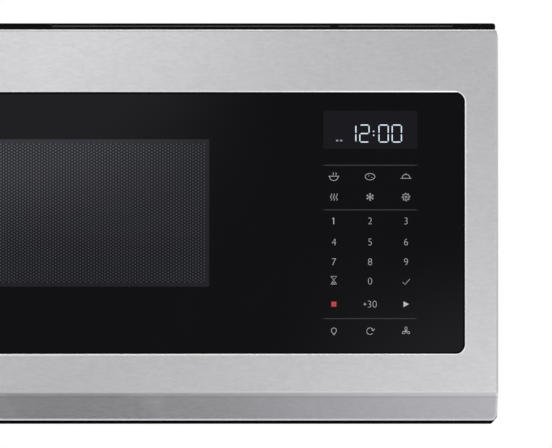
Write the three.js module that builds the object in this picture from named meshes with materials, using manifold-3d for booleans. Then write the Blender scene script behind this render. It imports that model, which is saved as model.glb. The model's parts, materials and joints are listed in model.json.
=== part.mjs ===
// Over-the-range microwave oven with an exhaust hood in its base.
// Millimetres. +X is to the right seen from the front, the front faces -Y, +Z is up.
// The origin is the middle of the underside.
import * as THREE from 'three';
import { mergeVertices } from 'three/addons/utils/BufferGeometryUtils.js';
import Module from 'manifold-3d';

const wasm = await Module();
wasm.setup();

// ---------------------------------------------------------------- driving dimensions
const seat = 0.3; // gap between pieces that touch
const doorWidth = 758.8;
const overallHeight = 433.4;
const overallDepth = 412.8;
const cabinetInset = 3.2; // the door overhangs the cabinet by this on each side
const cabinetSheet = 1.5;
const stripHeight = 6.4; // vent strip above the door
const stripGap = 0.6; // door's top to the strip
const doorRaise = 3.3; // door's lower edge above the underside
const doorThickness = 46;
const doorClearance = 3; // door's back to the cabinet's front
const doorSheet = 1.2;
const doorReturn = 20; // depth of the steel front's sides
const doorEdgeRadius = 4;
const doorCornerRadius = 5;
const bevelHeight = 28.2; // leaning lower edge of the door
const bevelDepth = 15;
const bendLength = 3.5;
const hemRadius = 1.6;
const glassSideMargin = 36.6;
const glassTopMargin = 68.5;
const glassBottomMargin = 72.7;
const glassCornerRadius = 10;
const glassThickness = 4;
const glassRecess = 0.8;
const rimWidth = 2; // bright chamfer round the glass
const windowMarginLeft = 76; // window's edges in from the oven's mouth
const windowMarginRight = 109.3;
const windowMarginTop = 9.6;
const windowMarginBottom = 78.4;
const windowLap = 11; // screen and inner window reach past the visible window
const coverWall = 2.5;
const pocketHeight = 40; // finger pocket behind the leaning edge
const pocketEnd = 18; // solid ends of the pocket
const hingeInset = 7; // hinge axis in from the door's edge
const hingeForward = 12; // hinge axis in front of the door's back
const hingePinRadius = 2.5;
const hingePlate = 2.5;
const hingePinLength = 18;
const baseHeight = 12;
const baseChamfer = 4;
const cavityFloor = 70;
const cavitySideGap = 21.2; // oven's left wall to the cabinet's side
const cavityBackGap = 19.2; // oven's back wall to the cabinet's back
const bayWidth = 201.2; // parts bay between the oven's right wall and the cabinet's side
const cavitySheet = 1.2;
const cavityCorner = 10;
const trayGap = 12; // tray's edge to the oven's walls
const trayThickness = 5;
const trayRim = 12;
const wheelRadius = 8;
const wheelWidth = 6;
const wheelTrackInset = 50; // wheels' track in from the tray's edge
const axleRadius = 2;
const hookOffset = 20; // hooks to the right of the oven's right wall
const hookThickness = 4;
const hookLift = 4;
const hookReach = 22; // hooks stand behind the door's back
const lowerHookRise = 62; // above the oven's floor
const upperHookDrop = 46; // below the oven's top
const hookHeight = 20;
const switchWidth = 10;
const rotorRadius = 38;
const rotorLength = 60;
const bladeCount = 22;
const bladeDepth = 8;
const scrollThroat = 5; // rotor to the scroll at its tongue
const scrollGrowth = 12; // what the scroll widens by round the rotor
const scrollTopGap = 1;
const ductGap = 1.4; // scroll to the oven's top
const blowerBackGap = 7.1;
const blowerMotorLength = 54;
const blowerMotorRadius = 30;
const scrollSheet = 1.5;
const fanRadius = 46;
const fanOffset = 87; // fan's axis from the oven's right wall
const fanDrop = 41; // fan's axis below the oven's top
const filterWidth = 280;
const filterDepth = 140;
const filterHeight = 6;
const filterLap = 8; // filters reach past their throats
const filterSideGap = 36.2;
const filterBackGap = 33.6;
const filterTravel = 12;
const lampInset = 40; // lamps' middles in from the filters' middles
const lampSetback = 62.4; // lamps behind the cabinet's front
const wallPlateSheet = 2.5;

// ---------------------------------------------------------------- places that follow from them
const doorFront = -overallDepth / 2;
const doorBack = doorFront + doorThickness;
const cabinetFront = doorBack + doorClearance;
const wallFace = overallDepth / 2;
const cabinetBack = wallFace - wallPlateSheet - seat;
const doorHalf = doorWidth / 2;
const cabinetHalf = doorHalf - cabinetInset;
const innerHalf = cabinetHalf - cabinetSheet - seat; // half width between the cover's sides
const doorTop = overallHeight - stripHeight;
const topSkin = overallHeight - cabinetSheet; // underside of the cabinet's top
const frontInner = cabinetFront + cabinetSheet;
const hingeX = -doorHalf + hingeInset;
const hingeY = doorBack - hingeForward;
const pinHole = hingePinRadius + seat;
const stripBottom = doorTop + stripGap;
const scrollRadius = rotorRadius + scrollThroat + scrollGrowth;
const blowerAxisY = cabinetBack - cabinetSheet - blowerBackGap - scrollRadius;
const blowerAxisZ = topSkin - seat - scrollTopGap - scrollRadius;
const cavityLeft = -cabinetHalf + cavitySideGap;
const cavityRight = cabinetHalf - bayWidth;
const cavityTop = blowerAxisZ - scrollRadius - ductGap - cavitySheet;
const cavityMiddleX = (cavityLeft + cavityRight) / 2;
const linerFront = frontInner + seat;
const cavityBack = cabinetBack - cavityBackGap;
const trayY = (linerFront + cavityBack) / 2;
const trayRadius = Math.min(cavityBack - linerFront, cavityRight - cavityLeft) / 2 - trayGap;
const wheelTrack = trayRadius - wheelTrackInset;
const linerTop = cavityTop + cavitySheet;
const linerRight = cavityRight + cavitySheet;
const wheelZ = cavityFloor + seat + wheelRadius;
const trayZ = wheelZ + wheelRadius + seat;
const hookX = cavityRight + hookOffset;
const lowerHookZ = cavityFloor + lowerHookRise;
const upperHookZ = cavityTop - upperHookDrop;
const fanX = cavityRight + fanOffset;
const fanZ = cavityTop - fanDrop;
const filterMiddleX = cabinetHalf - filterSideGap - filterWidth / 2;
const filterMiddleY = cabinetBack - filterBackGap - filterDepth / 2;
const lampMiddleX = filterMiddleX - lampInset;
const lampMiddleY = cabinetFront + lampSetback;
const windowLeft = cavityLeft + windowMarginLeft;
const windowRight = cavityRight - windowMarginRight;
const windowTop = cavityTop - windowMarginTop;
const windowBottom = cavityFloor + windowMarginBottom;
const glassHalf = doorHalf - glassSideMargin;
const glassTop = doorTop - glassTopMargin;
const glassBottom = doorRaise + glassBottomMargin;
const glassFace = doorFront + glassRecess;
const glassBack = glassFace + glassThickness;

// ---------------------------------------------------------------- solids
const steelBright = { color: 0xc4c4c6, roughness: 0.32, metalness: 0.9 };
const steelGalvanised = { color: 0x9a9da0, roughness: 0.45, metalness: 0.8 };
const paintBlack = { color: 0x141416, roughness: 0.5, metalness: 0.1 };
const paintGrey = { color: 0x8f9193, roughness: 0.5, metalness: 0.2 };
const plasticBlack = { color: 0x18181a, roughness: 0.6, metalness: 0 };
const plasticWhite = { color: 0xe4e2da, roughness: 0.55, metalness: 0 };
const glassBlack = { color: 0x0b0b0d, roughness: 0.06, metalness: 0 };
const glassClear = { color: 0xdfe9ea, roughness: 0.05, metalness: 0 };
const boardGreen = { color: 0x1f5a33, roughness: 0.55, metalness: 0 };
const charcoal = { color: 0x1c1d1e, roughness: 0.9, metalness: 0 };
const aluminium = { color: 0xb4b6b8, roughness: 0.4, metalness: 0.9 };

function solidOf(geometry) {
  geometry.deleteAttribute('normal');
  geometry.deleteAttribute('uv');
  const merged = mergeVertices(geometry, 1e-4);
  return new wasm.Manifold(new wasm.Mesh({
    numProp: 3,
    vertProperties: new Float32Array(merged.attributes.position.array),
    triVerts: new Uint32Array(merged.index.array),
  }));
}

function geometryOf(solid) {
  const mesh = solid.getMesh();
  const geometry = new THREE.BufferGeometry();
  geometry.setAttribute('position', new THREE.BufferAttribute(new Float32Array(mesh.vertProperties), 3));
  geometry.setIndex(new THREE.BufferAttribute(new Uint32Array(mesh.triVerts), 1));
  geometry.computeVertexNormals();
  return geometry;
}

const join = (first, ...more) => more.reduce((whole, piece) => whole.add(piece), first);
const cut = (first, ...more) => more.reduce((whole, piece) => whole.subtract(piece), first);
const common = (first, ...more) => more.reduce((whole, piece) => whole.intersect(piece), first);

function block(x0, x1, y0, y1, z0, z1) {
  const geometry = new THREE.BoxGeometry(x1 - x0, y1 - y0, z1 - z0);
  geometry.translate((x0 + x1) / 2, (y0 + y1) / 2, (z0 + z1) / 2);
  return solidOf(geometry);
}

// Block round a middle in plan, from one height to another.
function padAt([x, y], [width, depth], z0, z1) {
  return block(x - width / 2, x + width / 2, y - depth / 2, y + depth / 2, z0, z1);
}

const extrude = (shape, depth, curveSegments) => new THREE.ExtrudeGeometry(shape, {
  depth, curveSegments, steps: 1, bevelEnabled: false,
});

// A shape drawn in X and Z, along Y.
function prismY(shape, y0, y1, curveSegments = 2) {
  const geometry = extrude(shape, y1 - y0, curveSegments);
  geometry.rotateX(Math.PI / 2);
  geometry.translate(0, y1, 0);
  return solidOf(geometry);
}

// A shape drawn in Y and Z, along X.
function prismX(shape, x0, x1, curveSegments = 2) {
  const geometry = extrude(shape, x1 - x0, curveSegments);
  geometry.applyMatrix4(new THREE.Matrix4().makeBasis(
    new THREE.Vector3(0, 1, 0), new THREE.Vector3(0, 0, 1), new THREE.Vector3(1, 0, 0),
  ));
  geometry.translate(x0, 0, 0);
  return solidOf(geometry);
}

// A shape drawn in X and Y, along Z.
function prismZ(shape, z0, z1, curveSegments = 2) {
  const geometry = extrude(shape, z1 - z0, curveSegments);
  geometry.translate(0, 0, z0);
  return solidOf(geometry);
}

// Corners are arcs; the shape is drawn counter-clockwise.
function roundedRect(u0, u1, v0, v1, radius) {
  const shape = new THREE.Shape();
  shape.moveTo(u0 + radius, v0);
  shape.absarc(u1 - radius, v0 + radius, radius, -Math.PI / 2, 0);
  shape.absarc(u1 - radius, v1 - radius, radius, 0, Math.PI / 2);
  shape.absarc(u0 + radius, v1 - radius, radius, Math.PI / 2, Math.PI);
  shape.absarc(u0 + radius, v0 + radius, radius, Math.PI, Math.PI * 1.5);
  return shape;
}

function polygon(...points) {
  return new THREE.Shape(points.map(([u, v]) => new THREE.Vector2(u, v)));
}

function rod(axis, radius, from, to, u, v, sides = 16) {
  const geometry = new THREE.CylinderGeometry(radius, radius, to - from, sides);
  const middle = (from + to) / 2;
  if (axis === 'x') geometry.rotateZ(-Math.PI / 2).translate(middle, u, v);
  if (axis === 'y') geometry.translate(u, middle, v);
  if (axis === 'z') geometry.rotateX(Math.PI / 2).translate(u, v, middle);
  return solidOf(geometry);
}

function ring(axis, outer, inner, from, to, u, v, sides = 16) {
  return cut(rod(axis, outer, from, to, u, v, sides), rod(axis, inner, from - 1, to + 1, u, v, sides));
}

// Evenly spaced copies of a cutter, taken out of a sheet.
function cutRow(sheet, count, makeCutter) {
  let left = sheet;
  for (let i = 0; i < count; i += 1) left = left.subtract(makeCutter(i));
  return left;
}

// Tapering hole between two rounded rectangles in X and Z.
function taperedHole(u0, u1, v0, v1, radius, widen, y0, y1) {
  const front = roundedRect(u0 - widen, u1 + widen, v0 - widen, v1 + widen, radius + widen).getPoints(3);
  const back = roundedRect(u0, u1, v0, v1, radius).getPoints(3);
  const count = front.length - 1; // the last point repeats the first
  const positions = [];
  for (const [points, y] of [[front, y0], [back, y1]]) {
    for (let i = 0; i < count; i += 1) positions.push(points[i].x, y, points[i].y);
  }
  const index = [];
  for (let i = 0; i < count; i += 1) {
    const next = (i + 1) % count;
    index.push(i, next, count + i, next, count + next, count + i);
  }
  for (let i = 1; i < count - 1; i += 1) {
    index.push(0, i + 1, i, count, count + i, count + i + 1);
  }
  const geometry = new THREE.BufferGeometry();
  geometry.setAttribute('position', new THREE.Float32BufferAttribute(positions, 3));
  geometry.setIndex(index.reverse());
  return solidOf(geometry);
}

const model = new THREE.Group();

function add(name, solid, finish, group = model) {
  const mesh = new THREE.Mesh(geometryOf(solid), new THREE.MeshStandardMaterial(finish));
  mesh.name = name;
  group.add(mesh);
  return mesh;
}

// ---------------------------------------------------------------- door
const bevelSlope = bevelDepth / bevelHeight;
const bevelLength = Math.hypot(bevelDepth, bevelHeight);
const bevelIn = { y: bevelHeight / bevelLength, z: bevelDepth / bevelLength };
// The leaning face, moved in by an inset, as y at a height.
const bevelY = (z, inset) => doorFront + bevelDepth + inset * bevelIn.y
  - (z - doorRaise - inset * bevelIn.z) * bevelSlope;
// The height at which it meets the flat front with the same inset.
const bevelTop = (inset) => doorRaise + inset * bevelIn.z
  + (bevelDepth + inset * bevelIn.y - inset) / bevelSlope;

// Side profile of the door with an inset all round; it may stay open below.
function doorProfile(inset, back, openBelow) {
  const front = doorFront + inset;
  const top = doorTop - inset;
  const bottom = openBelow ? doorRaise - 5 : doorRaise + inset;
  const edge = Math.max(doorEdgeRadius - inset, 0.8);
  const hem = openBelow ? 0.2 : Math.max(hemRadius - inset, 0.4);
  const shape = new THREE.Shape();
  shape.moveTo(back, top);
  shape.lineTo(front + edge, top);
  shape.absarc(front + edge, top - edge, edge, Math.PI / 2, Math.PI, false);
  shape.lineTo(front, bevelTop(inset) + bendLength);
  shape.quadraticCurveTo(
    front, bevelTop(inset),
    bevelY(bevelTop(inset) - bendLength, inset), bevelTop(inset) - bendLength,
  );
  shape.lineTo(bevelY(bottom + hem, inset), bottom + hem);
  shape.quadraticCurveTo(bevelY(bottom, inset), bottom, bevelY(bottom, inset) + hem, bottom);
  shape.lineTo(back, bottom);
  return shape;
}

function doorEnvelope(inset, back, openBelow = false) {
  const half = doorHalf - inset;
  const low = openBelow ? doorRaise - 20 : doorRaise + inset;
  const corner = doorCornerRadius - inset;
  const edge = doorEdgeRadius - inset;
  const frontCorner = Math.max(corner, 0.8);
  const planCorner = Math.max(edge, 0.8);
  return common(
    prismX(doorProfile(inset, back, openBelow), -half, half, 3),
    prismY(roundedRect(-half, half, low, doorTop - inset, frontCorner), doorFront - 1, back + 1),
    prismZ(roundedRect(-half, half, doorFront + inset, back + 20, planCorner), -10, overallHeight),
  );
}

const steelInner = doorSheet + seat; // what sits inside the steel front starts here
const door = new THREE.Group();
model.add(door);

function makeDoorFrontPanel() {
  const back = doorFront + doorReturn;
  const holeHalf = glassHalf + seat;
  const low = glassBottom - seat;
  const high = glassTop + seat;
  const radius = glassCornerRadius + seat;
  const lip = 1.5;
  const tray = cut(doorEnvelope(0, back), doorEnvelope(doorSheet, back + 5));
  const flange = prismY(
    roundedRect(-holeHalf - lip, holeHalf + lip, low - lip, high + lip, radius + lip),
    doorFront + doorSheet / 2, glassBack, 3,
  );
  const hole = prismY(roundedRect(-holeHalf, holeHalf, low, high, radius), doorFront, glassBack + 1, 3);
  const chamfer = taperedHole(
    -holeHalf, holeHalf, low, high, radius, rimWidth, doorFront - 0.02, doorFront + glassRecess,
  );
  return cut(join(tray, flange), hole, chamfer);
}
add('door_front_panel', makeDoorFrontPanel(), steelBright, door);

add('door_glass', prismY(
  roundedRect(-glassHalf, glassHalf, glassBottom, glassTop, glassCornerRadius), glassFace, glassBack, 3,
), glassBlack, door);

// Perforated screen, with a stiffening bead round the window.
const screenFront = glassBack + seat;
const screenSheet = 0.8;
const screenBack = screenFront + screenSheet;
const beadDepth = 1.6;
function makeDoorScreen() {
  const lap = windowLap;
  const sheet = block(
    windowLeft - lap, windowRight + lap, screenFront, screenBack, windowBottom - lap, windowTop + lap,
  );
  const bead = cut(
    prismY(roundedRect(windowLeft - 6, windowRight + 6, windowBottom - 6, windowTop + 6, 5),
      screenBack - 0.2, screenBack + beadDepth),
    prismY(roundedRect(windowLeft - 3, windowRight + 3, windowBottom - 3, windowTop + 3, 3),
      screenBack - 1, screenBack + beadDepth + 1),
  );
  return join(sheet, bead);
}
add('door_screen', makeDoorScreen(), paintBlack, door);

// Choke frame: a pan round the window, whose folded edge faces the oven's front.
const chokeFront = screenBack + seat;
const chokeLeft = cavityLeft - 12;
const chokeRight = cavityRight + 9;
const chokeBottom = cavityFloor - 12;
const chokeTop = cavityTop + 12;
const coverInner = doorBack - coverWall;
const chokeBack = coverInner - seat;
function makeChokeFrame() {
  const sheet = 1.2;
  const lipWidth = 10;
  const outer = block(chokeLeft, chokeRight, chokeFront, chokeBack, chokeBottom, chokeTop);
  const hollow = block(
    chokeLeft + sheet, chokeRight - sheet, chokeFront + sheet, chokeBack + 1,
    chokeBottom + sheet, chokeTop - sheet,
  );
  const lap = windowLap - 3;
  const opening = block(
    windowLeft - lap, windowRight + lap, chokeFront - 1, chokeFront + 5, windowBottom - lap, windowTop + lap,
  );
  const foldedEdge = cut(
    block(chokeLeft, chokeRight, chokeBack - sheet, chokeBack, chokeBottom, chokeTop),
    block(chokeLeft + lipWidth, chokeRight - lipWidth, chokeBack - 5, chokeBack + 1,
      chokeBottom + lipWidth, chokeTop - lipWidth),
  );
  // Quarter-wave slots that divide the folded edge into teeth.
  const slotPitch = 50;
  const slotWidth = 3;
  const across = Math.floor((chokeRight - chokeLeft - 2 * lipWidth) / slotPitch);
  const up = Math.floor((chokeTop - chokeBottom - 2 * lipWidth) / slotPitch);
  let edge = foldedEdge;
  for (let i = 1; i < across; i += 1) {
    const x = chokeLeft + lipWidth + i * slotPitch;
    edge = cut(
      edge,
      block(x, x + slotWidth, chokeBack - 3, chokeBack + 1, chokeBottom + 3, chokeBottom + lipWidth + 1),
      block(x, x + slotWidth, chokeBack - 3, chokeBack + 1, chokeTop - lipWidth - 1, chokeTop - 3),
    );
  }
  for (let i = 1; i < up; i += 1) {
    const z = chokeBottom + lipWidth + i * slotPitch;
    edge = cut(
      edge,
      block(chokeLeft + 3, chokeLeft + lipWidth + 1, chokeBack - 3, chokeBack + 1, z, z + slotWidth),
      block(chokeRight - lipWidth - 1, chokeRight - 3, chokeBack - 3, chokeBack + 1, z, z + slotWidth),
    );
  }
  return join(cut(outer, hollow, opening), edge);
}
add('door_choke_frame', makeChokeFrame(), paintBlack, door);

// Inner cover: the black tray that closes the door's back.
const innerLeft = windowLeft - windowLap;
const innerRight = windowRight + windowLap;
const innerBottom = windowBottom - windowLap;
const innerTop = windowTop + windowLap;
const pocketTop = doorRaise + pocketHeight;
const innerWindowSheet = 1.6;
const railDepth = 18;
const springTop = upperHookZ + hookHeight / 2 + 38;
const barTop = upperHookZ + hookHeight / 2 + 18;
const barBottom = lowerHookZ - hookHeight / 2 - 12;
function makeInnerCover() {
  const inset = steelInner;
  const half = doorHalf - inset;
  const top = doorTop - inset;
  const bottom = pocketTop + seat;
  const front = screenBack + seat;
  const corner = doorCornerRadius;
  const outer = prismY(roundedRect(-half, half, bottom, top, corner), front, doorBack);
  const hollow = prismY(
    roundedRect(-half + coverWall, half - coverWall, bottom + coverWall, top - coverWall, corner - 1),
    front - 1, coverInner,
  );
  const seeThrough = block(
    innerLeft + 3, innerRight - 3, coverInner - 1, doorBack + 1, innerBottom + 3, innerTop - 3,
  );
  const rebate = block(
    innerLeft - seat, innerRight + seat, coverInner - 1, coverInner + innerWindowSheet / 2 + seat,
    innerBottom - seat, innerTop + seat,
  );
  const boss = block(
    -half, hingeX + hingePinRadius + 4, hingeY - 7, doorBack - 0.5, top - hingePinLength - 2, top,
  );
  const bore = rod('z', pinHole, top - hingePinLength - seat, top + 5, hingeX, hingeY, 16);
  const slots = [lowerHookZ, upperHookZ].map((z) => block(
    hookX - hookThickness / 2 - 1, hookX + hookThickness / 2 + 1.5, coverInner - 1, doorBack + 1,
    z - hookHeight / 2 - 1, z + hookHeight / 2 + hookLift + 1,
  ));
  const railInner = hookThickness / 2 + seat;
  const railZ = (lowerHookZ + upperHookZ) / 2;
  const rails = [-1, 1].map((side) => block(
    hookX + (side < 0 ? -railInner - 2.5 : railInner), hookX + (side < 0 ? -railInner : railInner + 2.5),
    coverInner - railDepth, coverInner + 0.5, railZ - 45, railZ + 45,
  ));
  const springSeat = block(
    hookX - 7, hookX + 7, coverInner - railDepth - 4, coverInner + 0.5, springTop + seat, springTop + 3,
  );
  const ribPlaces = [-300, -150, 60, 280];
  const ribs = ribPlaces.map((x) => block(
    x, x + coverWall, coverInner - 8, coverInner + 0.5, bottom + 1, chokeBottom - 2,
  ));
  const tray = join(cut(outer, hollow), boss, ...rails, springSeat, ...ribs);
  return cut(tray, seeThrough, rebate, bore, ...slots);
}
add('door_inner_cover', makeInnerCover(), plasticBlack, door);

add('door_inner_window', block(
  innerLeft, innerRight, coverInner - innerWindowSheet / 2, coverInner + innerWindowSheet / 2,
  innerBottom, innerTop,
), glassClear, door);

// Finger pocket behind the leaning edge, open below.
function makeHandlePocket() {
  const wall = 2;
  const half = doorHalf - steelInner;
  const space = half - pocketEnd;
  const shell = common(
    doorEnvelope(steelInner, doorBack),
    block(-doorHalf, doorHalf, doorFront, doorBack, 0, pocketTop),
  );
  const fingers = common(
    doorEnvelope(steelInner + wall, coverInner, true),
    block(-space, space, doorFront, coverInner, -5, pocketTop - wall),
  );
  const bore = rod('z', pinHole, -5, doorRaise + hingePinLength + seat, hingeX, hingeY, 16);
  return cut(shell, fingers, bore);
}
add('handle_pocket', makeHandlePocket(), plasticBlack, door);

// Display and touch key circuit, against the back of the glass.
const displayGap = 1.2; // to the right of the choke frame
const displayDrop = 20; // below the glass's top edge
const displayWidth = 101.6;
const displayHeight = 41;
const boardLap = 3; // circuit boards reach past the keys' columns
const boardSheet = 1.6;
const displayDepth = 8;
const plugWidth = 18;
const plugHeight = 8;
const controlLeft = chokeRight + displayGap + boardLap;
const controlRight = controlLeft + displayWidth;
const displayMiddleX = (controlLeft + controlRight) / 2;
const displayTop = glassTop - displayDrop;
function makeDisplayModule() {
  const front = glassBack + seat;
  const back = front + displayDepth;
  const bottom = displayTop - displayHeight;
  const frame = block(controlLeft, controlRight, front, back + 1, bottom, displayTop);
  const board = block(
    controlLeft - boardLap, controlRight + boardLap, back, back + boardSheet, bottom - 4, displayTop + 4,
  );
  const plugRight = controlRight - 4;
  const plugHigh = displayTop - 8;
  const connector = block(
    plugRight - plugWidth, plugRight, back + 1, back + 1 + plugHeight, plugHigh - plugHeight, plugHigh,
  );
  return join(frame, board, connector);
}
add('display_module', makeDisplayModule(), boardGreen, door);

function makeTouchBoard() {
  const front = glassBack + seat;
  const top = displayTop - displayHeight - 6;
  const bottom = glassBottom + 8;
  const board = block(
    controlLeft - boardLap, controlRight + boardLap, front, front + boardSheet, bottom, top,
  );
  const chipSize = { width: 20, height: 14, thickness: 2.5 };
  const chipPitch = 60;
  const firstChip = bottom + 30;
  const face = front + boardSheet - 0.1;
  const chips = [0, 1, 2].map((i) => block(
    displayMiddleX - chipSize.width / 2, displayMiddleX + chipSize.width / 2, face, face + chipSize.thickness,
    firstChip + i * chipPitch, firstChip + i * chipPitch + chipSize.height,
  ));
  const buzzer = rod('y', 7, face, face + 8.5, controlRight - 14, bottom + 20);
  return join(board, ...chips, buzzer);
}
add('touch_board', makeTouchBoard(), boardGreen, door);

// Two hooks on one bar, which lifts against a spring as the door closes.
const hookBarBack = coverInner - seat;
const hookBarFront = hookBarBack - 13;
const hookTip = doorBack + hookReach;
const switchFront = hookTip + 8;
const switchDepth = 16;
const latchBoardBack = switchFront + switchDepth + 2;
function makeLatchHooks() {
  const left = hookX - hookThickness / 2;
  const right = hookX + hookThickness / 2;
  const bar = block(left, right, hookBarFront, hookBarBack, barBottom, barTop);
  const peg = block(left, right, hookBarFront + 4, hookBarBack - 4, barTop - 0.5, barTop + 6);
  const hooks = [lowerHookZ, upperHookZ].map((z) => {
    const low = z - hookHeight / 2;
    const high = z + hookHeight / 2;
    return prismX(polygon(
      [hookBarBack - 1, low + 5], [hookTip - 8, low + 5], [hookTip - 8, low], [hookTip - 4, low],
      [hookTip, low + 7], [hookTip, high], [hookBarBack - 1, high],
    ), left, right);
  });
  return join(bar, peg, ...hooks);
}
add('latch_hooks', makeLatchHooks(), plasticWhite, door);

// Compression spring over the bar's peg: one tube along a helix.
function makeLatchSpring() {
  const wire = 0.5;
  const radius = 5;
  const turns = 4;
  const low = barTop + seat + wire;
  const high = springTop - wire;
  const points = [];
  const steps = turns * 8;
  for (let i = 0; i <= steps; i += 1) {
    const angle = (i / 8) * Math.PI * 2;
    points.push(new THREE.Vector3(
      hookX + radius * Math.cos(angle),
      (hookBarFront + hookBarBack) / 2 + radius * Math.sin(angle),
      low + ((high - low) * i) / steps,
    ));
  }
  const path = new THREE.CatmullRomCurve3(points);
  const section = new THREE.Shape();
  section.absarc(0, 0, wire, 0, Math.PI * 2);
  const geometry = new THREE.ExtrudeGeometry(section, {
    steps, curveSegments: 3, bevelEnabled: false, extrudePath: path,
  });
  return solidOf(geometry);
}
add('latch_spring', makeLatchSpring(), steelGalvanised, door);

// ---------------------------------------------------------------- hinge brackets
const bracketNose = 5.5;
const strapInset = 2; // the strap's edge in from the hinge axis
const bracketRight = hingeX + 28;
const bracketBack = cabinetFront + 18;
function bracketOutline(grow = 0) {
  const left = hingeX + strapInset - grow;
  const right = bracketRight + grow;
  const plate = new THREE.Shape();
  plate.moveTo(left, bracketBack + grow);
  plate.lineTo(left, hingeY);
  plate.lineTo(right, hingeY + 6);
  plate.lineTo(right, bracketBack + grow);
  return plate;
}
function hingePlateSolid(z0, z1, grow = 0) {
  return join(
    prismZ(bracketOutline(grow), z0, z1),
    rod('z', bracketNose + grow, z0, z1, hingeX, hingeY),
  );
}
const upperPlateZ = stripBottom;
const lowerPlateZ = cabinetSheet + seat;
function makeUpperBracket() {
  const plate = hingePlateSolid(upperPlateZ, upperPlateZ + hingePlate);
  const pinEnd = doorTop - steelInner - hingePinLength;
  const pin = rod('z', hingePinRadius, pinEnd, upperPlateZ + 1, hingeX, hingeY, 16);
  return join(plate, pin);
}
add('hinge_bracket_upper', makeUpperBracket(), steelGalvanised);

const lowerPlate = 1.2;
function makeLowerBracket() {
  const plate = hingePlateSolid(lowerPlateZ, lowerPlateZ + lowerPlate);
  const pin = rod('z', hingePinRadius, lowerPlateZ + 0.5, doorRaise + hingePinLength, hingeX, hingeY, 16);
  return join(plate, pin);
}
add('hinge_bracket_lower', makeLowerBracket(), steelGalvanised);

// ---------------------------------------------------------------- cabinet
const grilleBack = cabinetFront + 28;
const grilleFront = doorFront + 3;
const grilleWall = 2.5;
const coverCorner = 3;
function makeTopGrille() {
  const low = stripBottom;
  const outline = roundedRect(-cabinetHalf, cabinetHalf, low - 10, overallHeight, coverCorner);
  const outer = common(
    prismY(outline, grilleFront, grilleBack),
    block(-cabinetHalf, cabinetHalf, grilleFront, grilleBack, low, overallHeight),
    prismZ(roundedRect(-cabinetHalf, cabinetHalf, grilleFront, grilleBack + 10, 4), low, overallHeight),
  );
  const hollow = block(
    -cabinetHalf + grilleWall, cabinetHalf - grilleWall, grilleFront + grilleWall, grilleBack + 1,
    low - 1, overallHeight - grilleWall,
  );
  // Shallow grooves along the front, broken by two ribs.
  const ribX = 204;
  const ribHalf = 6;
  const grooveEnd = cabinetHalf - 46.2;
  const grooveLow = overallHeight - 3.4;
  const grooveSpans = [
    [-grooveEnd, -ribX - ribHalf], [-ribX + ribHalf, ribX - ribHalf], [ribX + ribHalf, grooveEnd],
  ];
  const grooves = grooveSpans.map(([x0, x1]) => block(
    x0, x1, grilleFront - 1, grilleFront + 1, grooveLow, grooveLow + 1.7,
  ));
  // Two rows of vent slots through the top.
  const slotPitch = 44;
  const slotLength = 36;
  const slotWidth = 6;
  const slotEndGap = 50;
  const slotCount = Math.floor((2 * (cabinetHalf - slotEndGap)) / slotPitch) + 1;
  const firstX = -((slotCount - 1) * slotPitch) / 2;
  let body = cut(outer, hollow, ...grooves);
  for (const y of [grilleFront + 12, grilleFront + 24]) {
    body = cutRow(body, slotCount, (i) => block(
      firstX + i * slotPitch - slotLength / 2, firstX + i * slotPitch + slotLength / 2,
      y, y + slotWidth, overallHeight - 5, overallHeight + 1,
    ));
  }
  return cut(body, hingePlateSolid(low - 1, upperPlateZ + hingePlate + seat, seat));
}
add('top_grille', makeTopGrille(), plasticBlack);

const portHeight = 45;
const portWidth = 80;
const portOffset = 5.6; // behind the middle of the oven
const portDrop = 83; // below the oven's top
const antennaDrop = 33;
const antennaY = trayY + portOffset;
const antennaZ = cavityTop - antennaDrop;
const portFront = antennaY - portWidth / 2;
const portBack = antennaY + portWidth / 2;
const portHigh = cavityTop - portDrop;
const portLow = portHigh - portHeight;
const outletRun = 20; // the scroll's outlet past its spiral
const outletReach = scrollRadius + outletRun;
const glandSideGap = 76.2;
const glandBackGap = 53.6;
const glandX = cabinetHalf - glandSideGap;
const glandY = cabinetBack - glandBackGap;
const glandRadius = 11;
const boltSideGap = 126.2;
function makeOuterCover() {
  const low = baseHeight + seat;
  const outline = roundedRect(-cabinetHalf, cabinetHalf, low - 20, overallHeight, coverCorner);
  const outer = common(
    prismY(outline, cabinetFront, cabinetBack),
    block(-cabinetHalf, cabinetHalf, cabinetFront, cabinetBack, low, overallHeight),
  );
  const innerWall = cabinetHalf - cabinetSheet;
  const inside = prismY(
    roundedRect(-innerWall, innerWall, low - 20, topSkin, coverCorner - cabinetSheet),
    cabinetFront - 1, cabinetBack + 1,
  );
  const grilleSpace = block(
    -cabinetHalf - 1, cabinetHalf + 1, cabinetFront - 1, grilleBack + seat,
    stripBottom - seat, overallHeight + 1,
  );
  const glandHole = rod('z', glandRadius, topSkin - 1, overallHeight + 1, glandX, glandY);
  // Bolt slots that take the screws from the wall cabinet above.
  const boltHalfGap = cabinetHalf - boltSideGap;
  const boltY = blowerAxisY - outletReach - 1;
  const boltSlotHalf = 12;
  const boltSlotWidth = 8;
  const boltSlots = [-boltHalfGap, boltHalfGap].map((x) => prismZ(roundedRect(
    x - boltSlotHalf, x + boltSlotHalf, boltY - boltSlotWidth / 2, boltY + boltSlotWidth / 2, 3.9,
  ), topSkin - 1, overallHeight + 1, 2));
  let body = cut(outer, inside, grilleSpace, glandHole, ...boltSlots);
  // Cooling louvres beside the magnetron.
  const louvreCount = 8;
  const louvrePitch = 12;
  const louvreWidth = 5;
  const firstLouvre = antennaY - 60;
  body = cutRow(body, louvreCount, (i) => block(
    innerHalf - 1, cabinetHalf + 1,
    firstLouvre + i * louvrePitch, firstLouvre + i * louvrePitch + louvreWidth,
    antennaZ - 35, antennaZ + 25,
  ));
  return body;
}
add('outer_cover', makeOuterCover(), paintBlack);

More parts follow.
